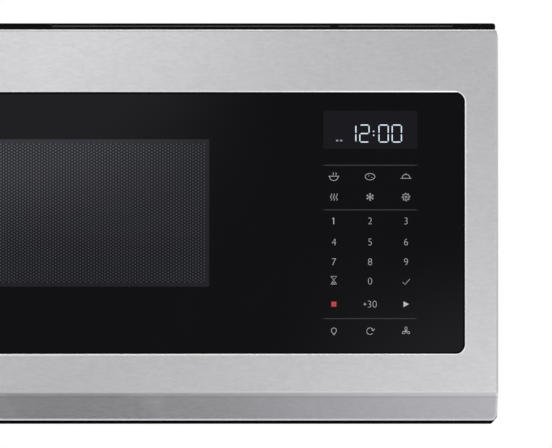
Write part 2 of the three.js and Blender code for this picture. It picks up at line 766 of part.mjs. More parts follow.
const tabWidth = 40;
const tabHalfGap = cabinetHalf - 96.2;
const tabThickness = 4;
const tabZ = 30;
function makeRearPanel() {
  const panel = prismY(
    roundedRect(-innerHalf, innerHalf, baseHeight + seat, topSkin - seat, coverCorner - cabinetSheet),
    cabinetBack - cabinetSheet, cabinetBack,
  );
  const slots = [-tabHalfGap, tabHalfGap].map((x) => block(
    x - tabWidth / 2 - 1, x + tabWidth / 2 + 1, cabinetBack - 5, cabinetBack + 1,
    tabZ - 1, tabZ + tabThickness + 1,
  ));
  const beadHalf = 80;
  const beadDrop = 151.9;
  const beadPitch = cabinetHalf - 136.2;
  const beads = [-beadPitch, 0, beadPitch].map((x) => prismY(
    roundedRect(x - beadHalf, x + beadHalf, 150, topSkin - beadDrop, 8),
    cabinetBack - cabinetSheet - 1.5, cabinetBack - cabinetSheet + 0.5, 1,
  ));
  return cut(join(panel, ...beads), ...slots);
}
add('rear_panel', makeRearPanel(), steelGalvanised);

// Wall plate: carries the oven by two tabs, and is bolted to the wall through its slots.
const wallPlateHalf = cabinetHalf - 26.2;
const wallPlateLow = 16;
const wallPlateHigh = overallHeight - 23.4;
function makeWallPlate() {
  const front = wallFace - wallPlateSheet;
  const plate = block(-wallPlateHalf, wallPlateHalf, front, wallFace, wallPlateLow, wallPlateHigh);
  const tabs = [-tabHalfGap, tabHalfGap].map((x) => join(
    block(x - tabWidth / 2, x + tabWidth / 2, cabinetBack - 8, front + 1, tabZ, tabZ + tabThickness),
    block(x - tabWidth / 2, x + tabWidth / 2, cabinetBack - 8, cabinetBack - 5.5, tabZ, tabZ + 10),
  ));
  const slotHalf = 15;
  const slotPitch = 96;
  const slotLow = wallPlateLow + 74;
  const slotHigh = wallPlateHigh - 60;
  const slotsEachSide = Math.floor((wallPlateHalf - 2 * slotHalf) / slotPitch);
  const slots = [];
  for (const z of [slotLow, (slotLow + slotHigh) / 2, slotHigh]) {
    for (let i = -slotsEachSide; i <= slotsEachSide; i += 1) {
      const x = i * slotPitch;
      slots.push(block(x - slotHalf, x + slotHalf, front - 1, wallFace + 1, z - 4, z + 4));
    }
  }
  return cut(join(plate, ...tabs), ...slots);
}
add('wall_plate', makeWallPlate(), steelGalvanised);

// Front frame: the face that the door closes on, with the oven's mouth and the hook slots.
function makeFrontFrame() {
  const low = baseHeight + seat;
  const high = stripBottom - seat;
  const face = block(-innerHalf, innerHalf, cabinetFront, frontInner, low, high);
  const flangeDepth = 14;
  const flangeBack = cabinetFront + flangeDepth;
  const between = innerHalf - cabinetSheet;
  const flanges = cut(
    block(-innerHalf, innerHalf, cabinetFront + 0.5, flangeBack, low, high),
    block(-between, between, cabinetFront - 1, flangeBack + 1, low + cabinetSheet, high - cabinetSheet),
  );
  const mouth = prismY(
    roundedRect(cavityLeft, cavityRight, cavityFloor, cavityTop, cavityCorner),
    cabinetFront - 1, frontInner + 1,
  );
  const slots = [lowerHookZ, upperHookZ].map((z) => block(
    hookX - hookThickness / 2 - 1.5, hookX + hookThickness / 2 + 2.5, cabinetFront - 1, frontInner + 1,
    z - hookHeight / 2 - 1.5, z + hookHeight / 2 + hookLift + 1.5,
  ));
  return cut(join(face, flanges), mouth, ...slots);
}
add('front_frame', makeFrontFrame(), paintGrey);

// Base pan: the hood's underside, with two filter throats and two lamp ports.
const throatWidth = filterWidth - 2 * filterLap;
const throatDepth = filterDepth - 2 * filterLap;
const collarSheet = 1.5;
const collarHeight = 4; // upstand round each throat, which the filter lies on
const collarTop = cabinetSheet + collarHeight;
const filterLow = collarTop + seat;
const filterHigh = filterLow + filterHeight;
const portCorner = 6;
const lensWidth = 90;
const lensDepth = 44;
const lensLip = 4;
function makeBasePan() {
  const outline = polygon(
    [-cabinetHalf + baseChamfer, 0], [cabinetHalf - baseChamfer, 0], [cabinetHalf, baseChamfer],
    [cabinetHalf, baseHeight], [-cabinetHalf, baseHeight], [-cabinetHalf, baseChamfer],
  );
  const wall = cabinetSheet;
  const hollow = polygon(
    [-cabinetHalf + baseChamfer + wall, wall], [cabinetHalf - baseChamfer - wall, wall],
    [cabinetHalf - wall, baseChamfer + wall], [cabinetHalf - wall, baseHeight + 1],
    [-cabinetHalf + wall, baseHeight + 1], [-cabinetHalf + wall, baseChamfer + wall],
  );
  const filterPlaces = [-filterMiddleX, filterMiddleX].map((x) => [x, filterMiddleY]);
  const throats = filterPlaces.map((at) => padAt(at, [throatWidth, throatDepth], -1, collarTop + 1));
  const collars = filterPlaces.map((at) => padAt(
    at, [throatWidth + 2 * collarSheet, throatDepth + 2 * collarSheet], wall - 0.5, collarTop,
  ));
  const ports = [-lampMiddleX, lampMiddleX].map((x) => prismZ(roundedRect(
    x - lensWidth / 2, x + lensWidth / 2, lampMiddleY - lensDepth / 2, lampMiddleY + lensDepth / 2,
    portCorner,
  ), -1, wall + 1));
  // Rails that each filter slides between.
  const railHeight = filterHigh - 1;
  const rails = [];
  for (const x of [-filterMiddleX, filterMiddleX]) {
    for (const side of [-1, 1]) {
      const inner = filterMiddleY + side * (filterDepth / 2 + seat);
      const outer = inner + side * 1.5;
      const from = x - filterWidth / 2;
      const to = x + filterWidth / 2 + filterTravel;
      rails.push(block(from, to, Math.min(inner, outer), Math.max(inner, outer), wall - 0.5, railHeight));
    }
  }
  const notch = common(
    hingePlateSolid(lowerPlateZ - seat, lowerPlateZ + lowerPlate + seat, seat),
    block(-doorHalf, 0, cabinetFront - 1, frontInner + 0.5, 0, baseHeight),
  );
  const pan = cut(
    prismY(outline, cabinetFront, cabinetBack),
    prismY(hollow, cabinetFront + wall, cabinetBack - wall),
  );
  return cut(join(pan, ...collars, ...rails), ...throats, ...ports, notch);
}
add('base_pan', makeBasePan(), paintBlack);

// ---------------------------------------------------------------- hood filters and lamps
function makeGreaseFilter(x) {
  const at = [x, filterMiddleY];
  const edge = filterLap;
  const frame = cut(
    padAt(at, [filterWidth, filterDepth], filterLow, filterHigh),
    padAt(at, [filterWidth - 2 * edge, filterDepth - 2 * edge], filterLow - 1, filterHigh + 1),
  );
  // The mesh pad is one slab with stiffening bars across it.
  const pad = padAt(at, [filterWidth - edge, filterDepth - edge], filterLow + 1.5, filterHigh - 1.5);
  const bars = [];
  const across = 7;
  for (let i = 1; i < across; i += 1) {
    const barX = x - filterWidth / 2 + (filterWidth * i) / across;
    bars.push(padAt([barX, filterMiddleY], [3, filterDepth - edge], filterLow + 0.5, filterHigh - 0.5));
  }
  return join(frame, pad, ...bars);
}
add('grease_filter_left', makeGreaseFilter(-filterMiddleX), aluminium);
add('grease_filter_right', makeGreaseFilter(filterMiddleX), aluminium);

function makeLampLens(x) {
  const plug = prismZ(roundedRect(
    x - lensWidth / 2 + seat, x + lensWidth / 2 - seat,
    lampMiddleY - lensDepth / 2 + seat, lampMiddleY + lensDepth / 2 - seat, portCorner - seat,
  ), 0.2, cabinetSheet + seat + 0.5);
  const plate = prismZ(roundedRect(
    x - lensWidth / 2 - lensLip, x + lensWidth / 2 + lensLip,
    lampMiddleY - lensDepth / 2 - lensLip, lampMiddleY + lensDepth / 2 + lensLip, 8,
  ), cabinetSheet + seat, cabinetSheet + seat + 2);
  return join(plug, plate);
}
const lensTop = cabinetSheet + seat + 2;
const holderWidth = 68;
const holderDepth = 40;
const holderHeight = 24;
const holderSheet = 2;
function makeSurfaceLamp(x) {
  const holder = cut(
    padAt([x, lampMiddleY], [holderWidth, holderDepth], lensTop + seat, lensTop + holderHeight),
    padAt(
      [x, lampMiddleY], [holderWidth - 2 * holderSheet, holderDepth - 2 * holderSheet],
      lensTop - 1, lensTop + holderHeight - holderSheet,
    ),
  );
  const bulb = new THREE.LatheGeometry([
    new THREE.Vector2(0, 0), new THREE.Vector2(5, 1), new THREE.Vector2(8, 5), new THREE.Vector2(7.5, 9),
    new THREE.Vector2(5, 12), new THREE.Vector2(5, 20), new THREE.Vector2(0, 20),
  ], 12).rotateX(Math.PI / 2).translate(x, lampMiddleY, lensTop + 3);
  return join(holder, solidOf(bulb));
}
for (const [side, x] of [['left', -lampMiddleX], ['right', lampMiddleX]]) {
  add(`lamp_lens_${side}`, makeLampLens(x), glassClear);
  add(`surface_lamp_${side}`, makeSurfaceLamp(x), paintGrey);
}

// ---------------------------------------------------------------- oven cavity
const shaftHole = 9;
const cavityLamp = {
  boardGap: 4.4, // behind the latch board
  drop: 56, // below the oven's top
  reflectorDepth: 36,
  reflectorHeight: 32,
  reflectorWidth: 12,
  reflectorWall: 2,
  socketDepth: 28,
  socketHeight: 30,
  socketReach: 34,
};
const lampHoleY = latchBoardBack + cavityLamp.boardGap + cavityLamp.reflectorDepth / 2;
const lampHoleZ = cavityTop - cavityLamp.drop;
function makeCavityLiner() {
  const outer = prismY(roundedRect(
    cavityLeft - cavitySheet, cavityRight + cavitySheet, cavityFloor - cavitySheet, cavityTop + cavitySheet,
    cavityCorner + cavitySheet,
  ), linerFront, cavityBack + cavitySheet);
  const inner = prismY(
    roundedRect(cavityLeft, cavityRight, cavityFloor, cavityTop, cavityCorner), linerFront - 1, cavityBack,
  );
  const port = block(cavityRight - 1, cavityRight + 5, portFront, portBack, portLow, portHigh);
  const shaft = rod('z', shaftHole, cavityFloor - 5, cavityFloor + 5, cavityMiddleX, trayY);
  const lampHoles = [];
  const across = 3;
  const holePitch = 8;
  for (let i = 0; i < across; i += 1) {
    for (let j = 0; j < across; j += 1) {
      const y = lampHoleY + (i - 1) * holePitch;
      const z = lampHoleZ + (j - 1) * holePitch;
      lampHoles.push(rod('x', 2, cavityRight - 1, cavityRight + 5, y, z, 6));
    }
  }
  return cut(outer, inner, port, shaft, ...lampHoles);
}
add('cavity_liner', makeCavityLiner(), paintGrey);

add('waveguide_cover', block(
  cavityRight - seat - 0.8, cavityRight - seat, portFront - 8, portBack + 8, portLow - 8, portHigh + 8,
), plasticWhite);

const guideDepth = 38;
const guideLeft = linerRight + seat;
const guideRight = guideLeft + guideDepth;
const guideTop = cavityTop;
const antennaHoleRadius = 14;
function makeWaveguide() {
  const sheet = cavitySheet;
  const low = portLow - 5 * sheet;
  const duct = cut(
    block(guideLeft, guideRight, portFront - sheet, portBack + sheet, low, guideTop),
    block(guideLeft + sheet, guideRight - sheet, portFront, portBack, low + sheet, guideTop - sheet),
  );
  const mouth = block(guideLeft - 1, guideLeft + 3, portFront, portBack, portLow, portHigh);
  const antennaHole = rod('x', antennaHoleRadius, guideRight - 3, guideRight + 2, antennaY, antennaZ);
  return cut(duct, mouth, antennaHole);
}
add('waveguide', makeWaveguide(), steelGalvanised);

const magnetron = {
  width: 66,
  toFront: 44,
  toBack: 40,
  halfHeight: 42,
  anodeRadius: 18,
  magnetRadius: 27,
  magnetHole: 10,
  magnetThickness: 9,
  antennaRadius: 9,
  antennaLength: 24,
  finCount: 5,
  finPitch: 9.5,
  firstFin: 13,
  finSheet: 1,
  boxReach: 24,
  boxInset: 20,
  boxDrop: 16,
};
function makeMagnetron() {
  const plateLeft = guideRight + seat;
  const { width } = magnetron;
  const y0 = antennaY - magnetron.toFront;
  const y1 = antennaY + magnetron.toBack;
  const z0 = antennaZ - magnetron.halfHeight;
  const z1 = antennaZ + magnetron.halfHeight;
  const yoke = cut(
    block(plateLeft, plateLeft + width, y0, y1, z0, z1),
    block(plateLeft + 2, plateLeft + width - 2, y0 - 1, y1 + 1, z0 + 2, z1 - 2),
  );
  const anode = rod('x', magnetron.anodeRadius, plateLeft + 1, plateLeft + width - 1, antennaY, antennaZ, 12);
  const fins = [];
  for (let i = 0; i < magnetron.finCount; i += 1) {
    const x = plateLeft + magnetron.firstFin + i * magnetron.finPitch;
    fins.push(block(x, x + magnetron.finSheet, y0 + 4, y1 - 4, z0 + 1, z1 - 1));
  }
  const magnetPlaces = [plateLeft + 1.5, plateLeft + width - 2 - magnetron.magnetThickness];
  const magnets = magnetPlaces.map((x) => ring(
    'x', magnetron.magnetRadius, magnetron.magnetHole, x, x + magnetron.magnetThickness,
    antennaY, antennaZ, 12,
  ));
  const antenna = rod(
    'x', magnetron.antennaRadius, plateLeft - magnetron.antennaLength, plateLeft + 3, antennaY, antennaZ,
  );
  const boxLeft = plateLeft + width - 1;
  const filterBox = block(
    boxLeft, boxLeft + 1 + magnetron.boxReach, y0 + magnetron.boxInset, y1 - magnetron.boxInset,
    z0 + magnetron.boxDrop, z1 - magnetron.boxDrop,
  );
  return join(yoke, anode, ...fins, ...magnets, antenna, filterBox);
}
add('magnetron', makeMagnetron(), steelGalvanised);

function makeCavityLamp() {
  const left = linerRight + seat;
  const wall = cavityLamp.reflectorWall;
  const inner = left + cavityLamp.reflectorWidth - wall;
  const boxAt = (x0, x1, depth, height) => block(
    x0, x1, lampHoleY - depth / 2, lampHoleY + depth / 2, lampHoleZ - height / 2, lampHoleZ + height / 2,
  );
  const socket = boxAt(inner, left + cavityLamp.socketReach, cavityLamp.socketDepth, cavityLamp.socketHeight);
  const reflector = cut(
    boxAt(left, inner + wall, cavityLamp.reflectorDepth, cavityLamp.reflectorHeight),
    boxAt(left - 1, inner, cavityLamp.reflectorDepth - 2 * wall, cavityLamp.reflectorHeight - 2 * wall),
  );
  return join(socket, reflector);
}
add('cavity_lamp', makeCavityLamp(), paintGrey);

// ---------------------------------------------------------------- turntable
const turntable = new THREE.Group();
turntable.position.set(cavityMiddleX, trayY, 0);
model.add(turntable);

const floorUnder = cavityFloor - cavitySheet;
const motorHeight = 18;
const motorRadius = 25;
const motorTabReach = 33;
const motorTabHalf = 7;
const motorTabSheet = 2;
const socketDepth = 10;
const shaftRadius = 3;
function makeTurntableMotor() {
  const top = floorUnder - seat;
  const can = rod('z', motorRadius, top - motorHeight, top, 0, 0, 20);
  const tabs = block(
    -motorTabReach, motorTabReach, -motorTabHalf, motorTabHalf, top - motorTabSheet, top,
  );
  const socket = rod('z', shaftRadius + seat, top - socketDepth, top + 1, 0, 0, 16);
  return cut(join(can, tabs), socket);
}
add('turntable_motor', makeTurntableMotor(), steelGalvanised, turntable);

const couplerTop = trayZ - seat;
function makeDriveCoupler() {
  const hub = rod('z', 8, cavityFloor - cavitySheet, cavityFloor + 7, 0, 0);
  const shaft = rod('z', shaftRadius, floorUnder - seat - socketDepth + 1, cavityFloor, 0, 0, 16);
  const lobes = [0, 1, 2].map((i) => {
    const lobe = new THREE.BoxGeometry(17, 6, couplerTop - cavityFloor - 1);
    lobe.translate(8.5, 0, (couplerTop + cavityFloor + 1) / 2);
    lobe.rotateZ((i * Math.PI * 2) / 3);
    return solidOf(lobe);
  });
  return join(hub, shaft, ...lobes);
}
add('drive_coupler', makeDriveCoupler(), plasticWhite, turntable);

function makeGlassTray() {
  const outer = trayRadius;
  const profile = [
    [0, trayZ], [outer - 22, trayZ], [outer - 6, trayZ + 3], [outer, trayZ + trayRim],
    [outer - 2.5, trayZ + trayRim + 1], [outer - 8, trayZ + trayThickness + 3],
    [outer - 22, trayZ + trayThickness], [0, trayZ + trayThickness],
  ].map(([r, z]) => new THREE.Vector2(r, z));
  const dish = solidOf(new THREE.LatheGeometry(profile, 40).rotateX(Math.PI / 2));
  // Three lugs under the dish, between the coupler's lobes.
  const lugs = [0, 1, 2].map((i) => {
    const lug = new THREE.BoxGeometry(8, 7, 6);
    lug.translate(21, 0, trayZ - 2.5);
    lug.rotateZ((i * Math.PI * 2) / 3 + Math.PI / 3);
    return solidOf(lug);
  });
  return join(dish, ...lugs);
}
add('glass_tray', makeGlassTray(), glassClear, turntable);

const rollerRingInner = wheelTrack - 17;
const rollerRingOuter = wheelTrack - wheelWidth / 2 - 2;
function makeRollerRing() {
  const hoop = ring('z', rollerRingOuter, rollerRingInner, wheelZ - 3, wheelZ + 3, 0, 0, 32);
  const axles = [0, 1, 2].map((i) => {
    const reach = wheelTrack + wheelWidth / 2;
    const axle = new THREE.CylinderGeometry(axleRadius, axleRadius, reach + 3 - rollerRingInner - 4, 8);
    axle.rotateZ(-Math.PI / 2).translate((reach + 3 + rollerRingInner + 4) / 2, 0, wheelZ);
    const cap = new THREE.CylinderGeometry(axleRadius + 1.5, axleRadius + 1.5, 2, 8);
    cap.rotateZ(-Math.PI / 2).translate(reach + seat + 1.2, 0, wheelZ);
    const turn = (i * Math.PI * 2) / 3;
    return join(solidOf(axle.rotateZ(turn)), solidOf(cap.rotateZ(turn)));
  });
  return join(hoop, ...axles);
}
add('roller_ring', makeRollerRing(), plasticWhite, turntable);

function makeRollerWheel() {
  const half = wheelWidth / 2;
  const profile = [
    [axleRadius + seat, -half], [wheelRadius - 1, -half], [wheelRadius, -half + 1], [wheelRadius, half - 1],
    [wheelRadius - 1, half], [axleRadius + seat, half], [axleRadius + seat, -half],
  ].map(([r, x]) => new THREE.Vector2(r, x));
  return solidOf(new THREE.LatheGeometry(profile, 12).rotateZ(-Math.PI / 2));
}
for (let i = 0; i < 3; i += 1) {
  const arm = new THREE.Group();
  arm.rotation.z = (i * Math.PI * 2) / 3;
  turntable.add(arm);
  add(`roller_wheel_${i + 1}`, makeRollerWheel(), plasticWhite, arm).position.set(wheelTrack, 0, wheelZ);
}

// ---------------------------------------------------------------- magnetron cooling
const shroudY = antennaY + 52; // behind the magnetron
const shroudSheet = 2;
const fanGap = 2.5;
const shroudDepth = 26;
const shroudLap = 12; // the plate past the fan on the right
const shroudDrop = 58;
const shroudRise = 54;
function makeFanShroud() {
  const left = linerRight + seat;
  const plate = block(
    left, fanX + fanRadius + shroudLap, shroudY, shroudY + shroudSheet, fanZ - shroudDrop, fanZ + shroudRise,
  );
  const tube = rod('y', fanRadius + fanGap + shroudSheet, shroudY, shroudY + shroudDepth, fanX, fanZ, 22);
  const hole = rod('y', fanRadius + fanGap, shroudY - 1, shroudY + shroudDepth + 1, fanX, fanZ, 22);
  return cut(join(plate, tube), hole);
}
add('fan_shroud', makeFanShroud(), plasticBlack);

const fanShaft = 3;
const fanMotorY = shroudY + shroudDepth + seat;
const fanMotorRadius = 20;
const fanMotorLength = 30;
const fanMotorBore = 14;
function makeFanMotor() {
  const can = rod('y', fanMotorRadius, fanMotorY, fanMotorY + fanMotorLength, fanX, fanZ);
  const arms = [0, 1, 2].map((i) => {
    const reach = fanRadius + fanGap + shroudSheet;
    const arm = new THREE.BoxGeometry(reach, 3, 9);
    arm.translate(reach / 2, fanMotorY + 1.5, 0);
    arm.rotateY((i * Math.PI * 2) / 3 + Math.PI / 6);
    arm.translate(fanX, 0, fanZ);
    return solidOf(arm);
  });
  const bore = rod('y', fanShaft + seat, fanMotorY - 1, fanMotorY + fanMotorBore, fanX, fanZ, 16);
  return cut(join(can, ...arms), bore);
}
add('magnetron_fan_motor', makeFanMotor(), steelGalvanised);

const fanWheel = new THREE.Group();
fanWheel.position.set(fanX, shroudY + 4, fanZ);
model.add(fanWheel);
function makeFanWheel() {
  const depth = 18;
  const hub = rod('y', 13, 0, depth, 0, 0);
  const shaft = rod('y', fanShaft, depth - 1, shroudDepth + 8, 0, 0, 16);
  const bladeOutline = new THREE.Shape();
  bladeOutline.moveTo(9, -7);
  bladeOutline.quadraticCurveTo(30, -13, fanRadius - 1.5, -9);
  bladeOutline.quadraticCurveTo(fanRadius + 1, 2, fanRadius - 3, 11);
  bladeOutline.quadraticCurveTo(26, 12, 9, 7);
  const blades = [];
  for (let i = 0; i < 5; i += 1) {
    const blade = extrude(bladeOutline, 1.5, 3);
    blade.rotateX(Math.PI / 2).rotateX(THREE.MathUtils.degToRad(28));
    blade.translate(0, depth / 2, 0).rotateY((i * Math.PI * 2) / 5);
    blades.push(solidOf(blade));
  }
  return common(join(hub, shaft, ...blades), rod('y', fanRadius, -2, 60, 0, 0, 32));
}
add('magnetron_fan_wheel', makeFanWheel(), plasticBlack, fanWheel);

// ---------------------------------------------------------------- exhaust blower
const blower = new THREE.Group();
blower.position.set(cavityMiddleX, blowerAxisY, blowerAxisZ);
model.add(blower);

const scrollGap = 3; // rotor to the scroll's ends
const wheelStart = blowerMotorLength / 2 + 8 + scrollGap;
const scrollStart = wheelStart - scrollGap - scrollSheet;
const scrollEnd = wheelStart + rotorLength + scrollGap + scrollSheet;
const scrollTongue = 5;
const inletRadius = rotorRadius - 5;
const blowerShaft = 4;
// Spiral that widens round the rotor and runs out forwards along the top.
function scrollOutline(inset) {
  const shape = new THREE.Shape();
  const start = rotorRadius + scrollThroat;
  const steps = 12;
  shape.moveTo(-outletReach - (inset ? 2 : 0), scrollTongue + inset);
  shape.lineTo(-start + inset, scrollTongue + inset);
  for (let i = 1; i <= steps; i += 1) {
    const part = i / steps;
    const angle = Math.PI + part * Math.PI * 1.5;
    const radius = start + scrollGrowth * part - inset;
    shape.lineTo(radius * Math.cos(angle), radius * Math.sin(angle));
  }
  shape.lineTo(-outletReach - (inset ? 2 : 0), scrollRadius - inset);
  return shape;
}
function makeBlowerHousing() {
  const scrolls = [-1, 1].map((side) => {
    const from = side < 0 ? -scrollEnd : scrollStart;
    const to = side < 0 ? -scrollStart : scrollEnd;
    const shell = cut(
      prismX(scrollOutline(0), from, to),
      prismX(scrollOutline(scrollSheet), from + scrollSheet, to - scrollSheet),
      rod('x', inletRadius, from - 1, to + 1, 0, 0, 20),
    );
    return shell;
  });
  const flangeLow = linerTop + seat - blowerAxisZ;
  const flangeHigh = topSkin - seat - blowerAxisZ;
  const flange = block(
    -scrollEnd - 8, scrollEnd + 8, -outletReach - 2, -outletReach + 0.5, flangeLow, flangeHigh,
  );
  const outlets = [-1, 1].map((side) => {
    const from = side < 0 ? -scrollEnd : scrollStart;
    const to = side < 0 ? -scrollStart : scrollEnd;
    return block(
      from + scrollSheet, to - scrollSheet, -outletReach - 5, -outletReach + 2,
      scrollTongue + scrollSheet, scrollRadius - scrollSheet,
    );
  });
  return cut(join(...scrolls, flange), ...outlets);
}
add('blower_housing', makeBlowerHousing(), steelGalvanised, blower);

function makeBlowerMotor() {
  const half = blowerMotorLength / 2;
  const can = rod('x', blowerMotorRadius, -half, half, 0, 0, 20);
  const foot = block(-half + 6, half - 6, -18, 18, linerTop + seat - blowerAxisZ, -blowerMotorRadius + 4);
  return cut(join(can, foot), rod('x', blowerShaft + seat, -half - 1, half + 1, 0, 0, 16));
}
add('blower_motor', makeBlowerMotor(), steelGalvanised, blower);

// Forward-curved blades between a hub disc and an end ring.
function makeBladeWheel(side) {
  const hubX = wheelStart;
  const endX = wheelStart + rotorLength;
  const disc = rod('x', rotorRadius, hubX, hubX + 1.5, 0, 0, bladeCount);
  const inner = rotorRadius - bladeDepth;
  const endRing = ring('x', rotorRadius, inner, endX - 3, endX, 0, 0, bladeCount);
  const hub = rod('x', 9, hubX - 1.5, hubX + 14, 0, 0);
  const blades = [];
  const stations = 2;
  const sweep = THREE.MathUtils.degToRad(13);
  const half = 0.45;
  for (let i = 0; i < bladeCount; i += 1) {
    const turn = (i * Math.PI * 2) / bladeCount;
    const front = [];
    const back = [];
    for (let j = 0; j <= stations; j += 1) {
      const part = j / stations;
      const radius = inner + 0.4 + (bladeDepth - 0.9) * part;
      const angle = turn + sweep * part * part;
      front.push([radius * Math.cos(angle - half / radius), radius * Math.sin(angle - half / radius)]);
      back.unshift([radius * Math.cos(angle + half / radius), radius * Math.sin(angle + half / radius)]);
    }
    blades.push(prismX(polygon(...front, ...back), hubX + 0.5, endX - 0.5));
  }
  const wheel = join(disc, endRing, hub, ...blades);
  return side > 0 ? wheel : wheel.mirror([1, 0, 0]);
}
function makeBlowerRotor() {
  const shaft = rod('x', blowerShaft, -wheelStart - 10, wheelStart + 10, 0, 0, 16);
  return join(shaft, makeBladeWheel(1), makeBladeWheel(-1));
}
add('blower_rotor', makeBlowerRotor(), plasticBlack, blower);

const charcoalHalf = 150;
const charcoalDepth = 18;
const charcoalLap = 14; // under the grille
const charcoalDrop = 6;
const charcoalEdge = 7;
function makeCharcoalFilter() {
  const half = charcoalHalf;
  const barCount = 8;
  const y0 = grilleBack - charcoalLap;
  const y1 = y0 + charcoalDepth;
  const low = linerTop + seat;
  const high = doorTop - charcoalDrop;
  const edge = charcoalEdge;
  const frame = cut(
    block(-half, half, y0, y1, low, high),
    block(-half + edge, half - edge, y0 - 1, y1 + 1, low + edge, high - edge),
  );
  const pad = block(-half + 2, half - 2, y0 + 4, y1 - 4, low + 2, high - 2);
  const bars = [];
  for (let i = 1; i < barCount; i += 1) {
    const x = -half + (2 * half * i) / barCount;
    bars.push(block(x - 1.5, x + 1.5, y0 + 1, y1 - 1, low + 2, high - 2));
  }
  return join(frame, pad, ...bars);
}
add('charcoal_filter', makeCharcoalFilter(), charcoal);

// ---------------------------------------------------------------- power and control
const transformer = {
  sideGap: 86.2, // its middle to the cabinet's side
  setback: 52.4, // its middle to the cabinet's front
  coreWidth: 90,
  coreDepth: 70,
  coreHeight: 80,
  coilWidth: 64,
  coilDepth: 84,
  coilRise: 14,
  coilDrop: 12,
  footWidth: 108,
  footDepth: 50,
  footSheet: 3.5,
  terminalWidth: 56,
  terminalDepth: 30,
  terminalHeight: 8,
};
function makeTransformer() {
  const low = cabinetSheet + seat;
  const high = low + transformer.coreHeight;
  const at = [cabinetHalf - transformer.sideGap, cabinetFront + transformer.setback];
  const core = padAt(at, [transformer.coreWidth, transformer.coreDepth], low + 3, high);
  const coils = padAt(
    at, [transformer.coilWidth, transformer.coilDepth],
    low + transformer.coilRise, high - transformer.coilDrop,
  );
  const foot = padAt(at, [transformer.footWidth, transformer.footDepth], low, low + transformer.footSheet);
  const terminals = padAt(
    at, [transformer.terminalWidth, transformer.terminalDepth], high - 1, high + transformer.terminalHeight,
  );
  return join(core, coils, foot, terminals);
}
add('hv_transformer', makeTransformer(), steelGalvanised);

const capacitor = {
  offset: 12.5, // its middle to the right of the oven
  setback: 124.4, // its middle to the cabinet's front
  width: 75,
  depth: 34,
  height: 52,
  corner: 15,
  terminalGap: 35,
  terminalWidth: 6,
  terminalSheet: 2,
  terminalHeight: 8,
};
function makeCapacitor() {
  const low = cabinetSheet + seat;
  const high = low + capacitor.height;
  const x = cavityRight + capacitor.offset;
  const y = cabinetFront + capacitor.setback;
  const { width, depth } = capacitor;
  const can = prismZ(
    roundedRect(x - width / 2, x + width / 2, y - depth / 2, y + depth / 2, capacitor.corner), low, high,
  );
  const terminals = [-0.5, 0.5].map((side) => padAt(
    [x + side * capacitor.terminalGap, y], [capacitor.terminalWidth, capacitor.terminalSheet],
    high - 1, high + capacitor.terminalHeight,
  ));
  return join(can, ...terminals);
}
add('hv_capacitor', makeCapacitor(), aluminium);

const powerBoard = {
  setback: 37.4, // behind the cabinet's front
  rise: 40, // above the oven's floor
  length: 160,
  height: 115,
  canRadius: 6,
  canReach: 20,
};
// Parts on the board: place along it and up it, length, height and how far they stand out.
const relayPitch = 30;
const relay = { along: 15, up: 80, long: 22, high: 26, out: 18 };
const boardTransformer = { along: 20, up: 12, long: 36, high: 40, out: 30 };
const heatSink = { along: 80, up: 10, long: 4, high: 55, out: 22 };
const boardConnector = { along: 120, up: 90, long: 30, high: 12, out: 12 };
const canPlaces = [{ along: 105, up: 20 }, { along: 125, up: 20 }, { along: 105, up: 42 }];
function makePowerBoard() {
  const right = innerHalf;
  const front = cabinetFront + powerBoard.setback;
  const low = cavityFloor + powerBoard.rise;
  const standing = (piece, shift = 0) => block(
    right - piece.out, right - 1, front + piece.along + shift, front + piece.along + shift + piece.long,
    low + piece.up, low + piece.up + piece.high,
  );
  const board = block(
    right - boardSheet, right, front, front + powerBoard.length, low, low + powerBoard.height,
  );
  const relays = [0, 1, 2].map((i) => standing(relay, i * relayPitch));
  const cans = canPlaces.map(({ along, up }) => rod(
    'x', powerBoard.canRadius, right - powerBoard.canReach, right - 1, front + along, low + up, 16,
  ));
  const single = [boardTransformer, heatSink, boardConnector].map((piece) => standing(piece));
  return join(board, ...relays, ...single, ...cans);
}
add('power_board', makePowerBoard(), boardGreen);

const noiseFilter = {
  offset: 15, // to the right of the oven
  drop: 21.9, // below the cabinet's top
  width: 90,
  height: 70,
  chokeRadius: 14,
  chokeHole: 7,
  chokeReach: 13,
  chokeAlong: 25,
  chokeDrop: 38,
  capAlong: 50,
  capLength: 28,
  capHeight: 14,
  capReach: 16,
  capDrop: 26,
  capPitch: 32,
};
function makeNoiseFilter() {
  const back = cabinetBack - cabinetSheet - seat;
  const left = cavityRight + noiseFilter.offset;
  const high = topSkin - noiseFilter.drop;
  const board = block(
    left, left + noiseFilter.width, back - boardSheet, back, high - noiseFilter.height, high,
  );
  const choke = ring(
    'y', noiseFilter.chokeRadius, noiseFilter.chokeHole, back - noiseFilter.chokeReach, back - 1,
    left + noiseFilter.chokeAlong, high - noiseFilter.chokeDrop,
  );
  const capLeft = left + noiseFilter.capAlong;
  const caps = [1, 0].map((step) => {
    const low = high - noiseFilter.capDrop - step * noiseFilter.capPitch;
    return block(
      capLeft, capLeft + noiseFilter.capLength, back - noiseFilter.capReach, back - 1,
      low, low + noiseFilter.capHeight,
    );
  });
  return join(board, choke, ...caps);
}
add('noise_filter', makeNoiseFilter(), boardGreen);

function makeCordGland() {
  const profile = [
    [5, overallHeight - 20], [9, overallHeight - 20], [9, topSkin - seat - 3], [16, topSkin - seat - 3],
    [16, topSkin - seat], [glandRadius - seat, topSkin - seat], [glandRadius - seat, overallHeight],
    [5, overallHeight], [5, overallHeight - 20],
  ].map(([r, z]) => new THREE.Vector2(r, z));
  return solidOf(new THREE.LatheGeometry(profile, 12).rotateX(Math.PI / 2).translate(glandX, glandY, 0));
}
add('cord_gland', makeCordGland(), plasticBlack);

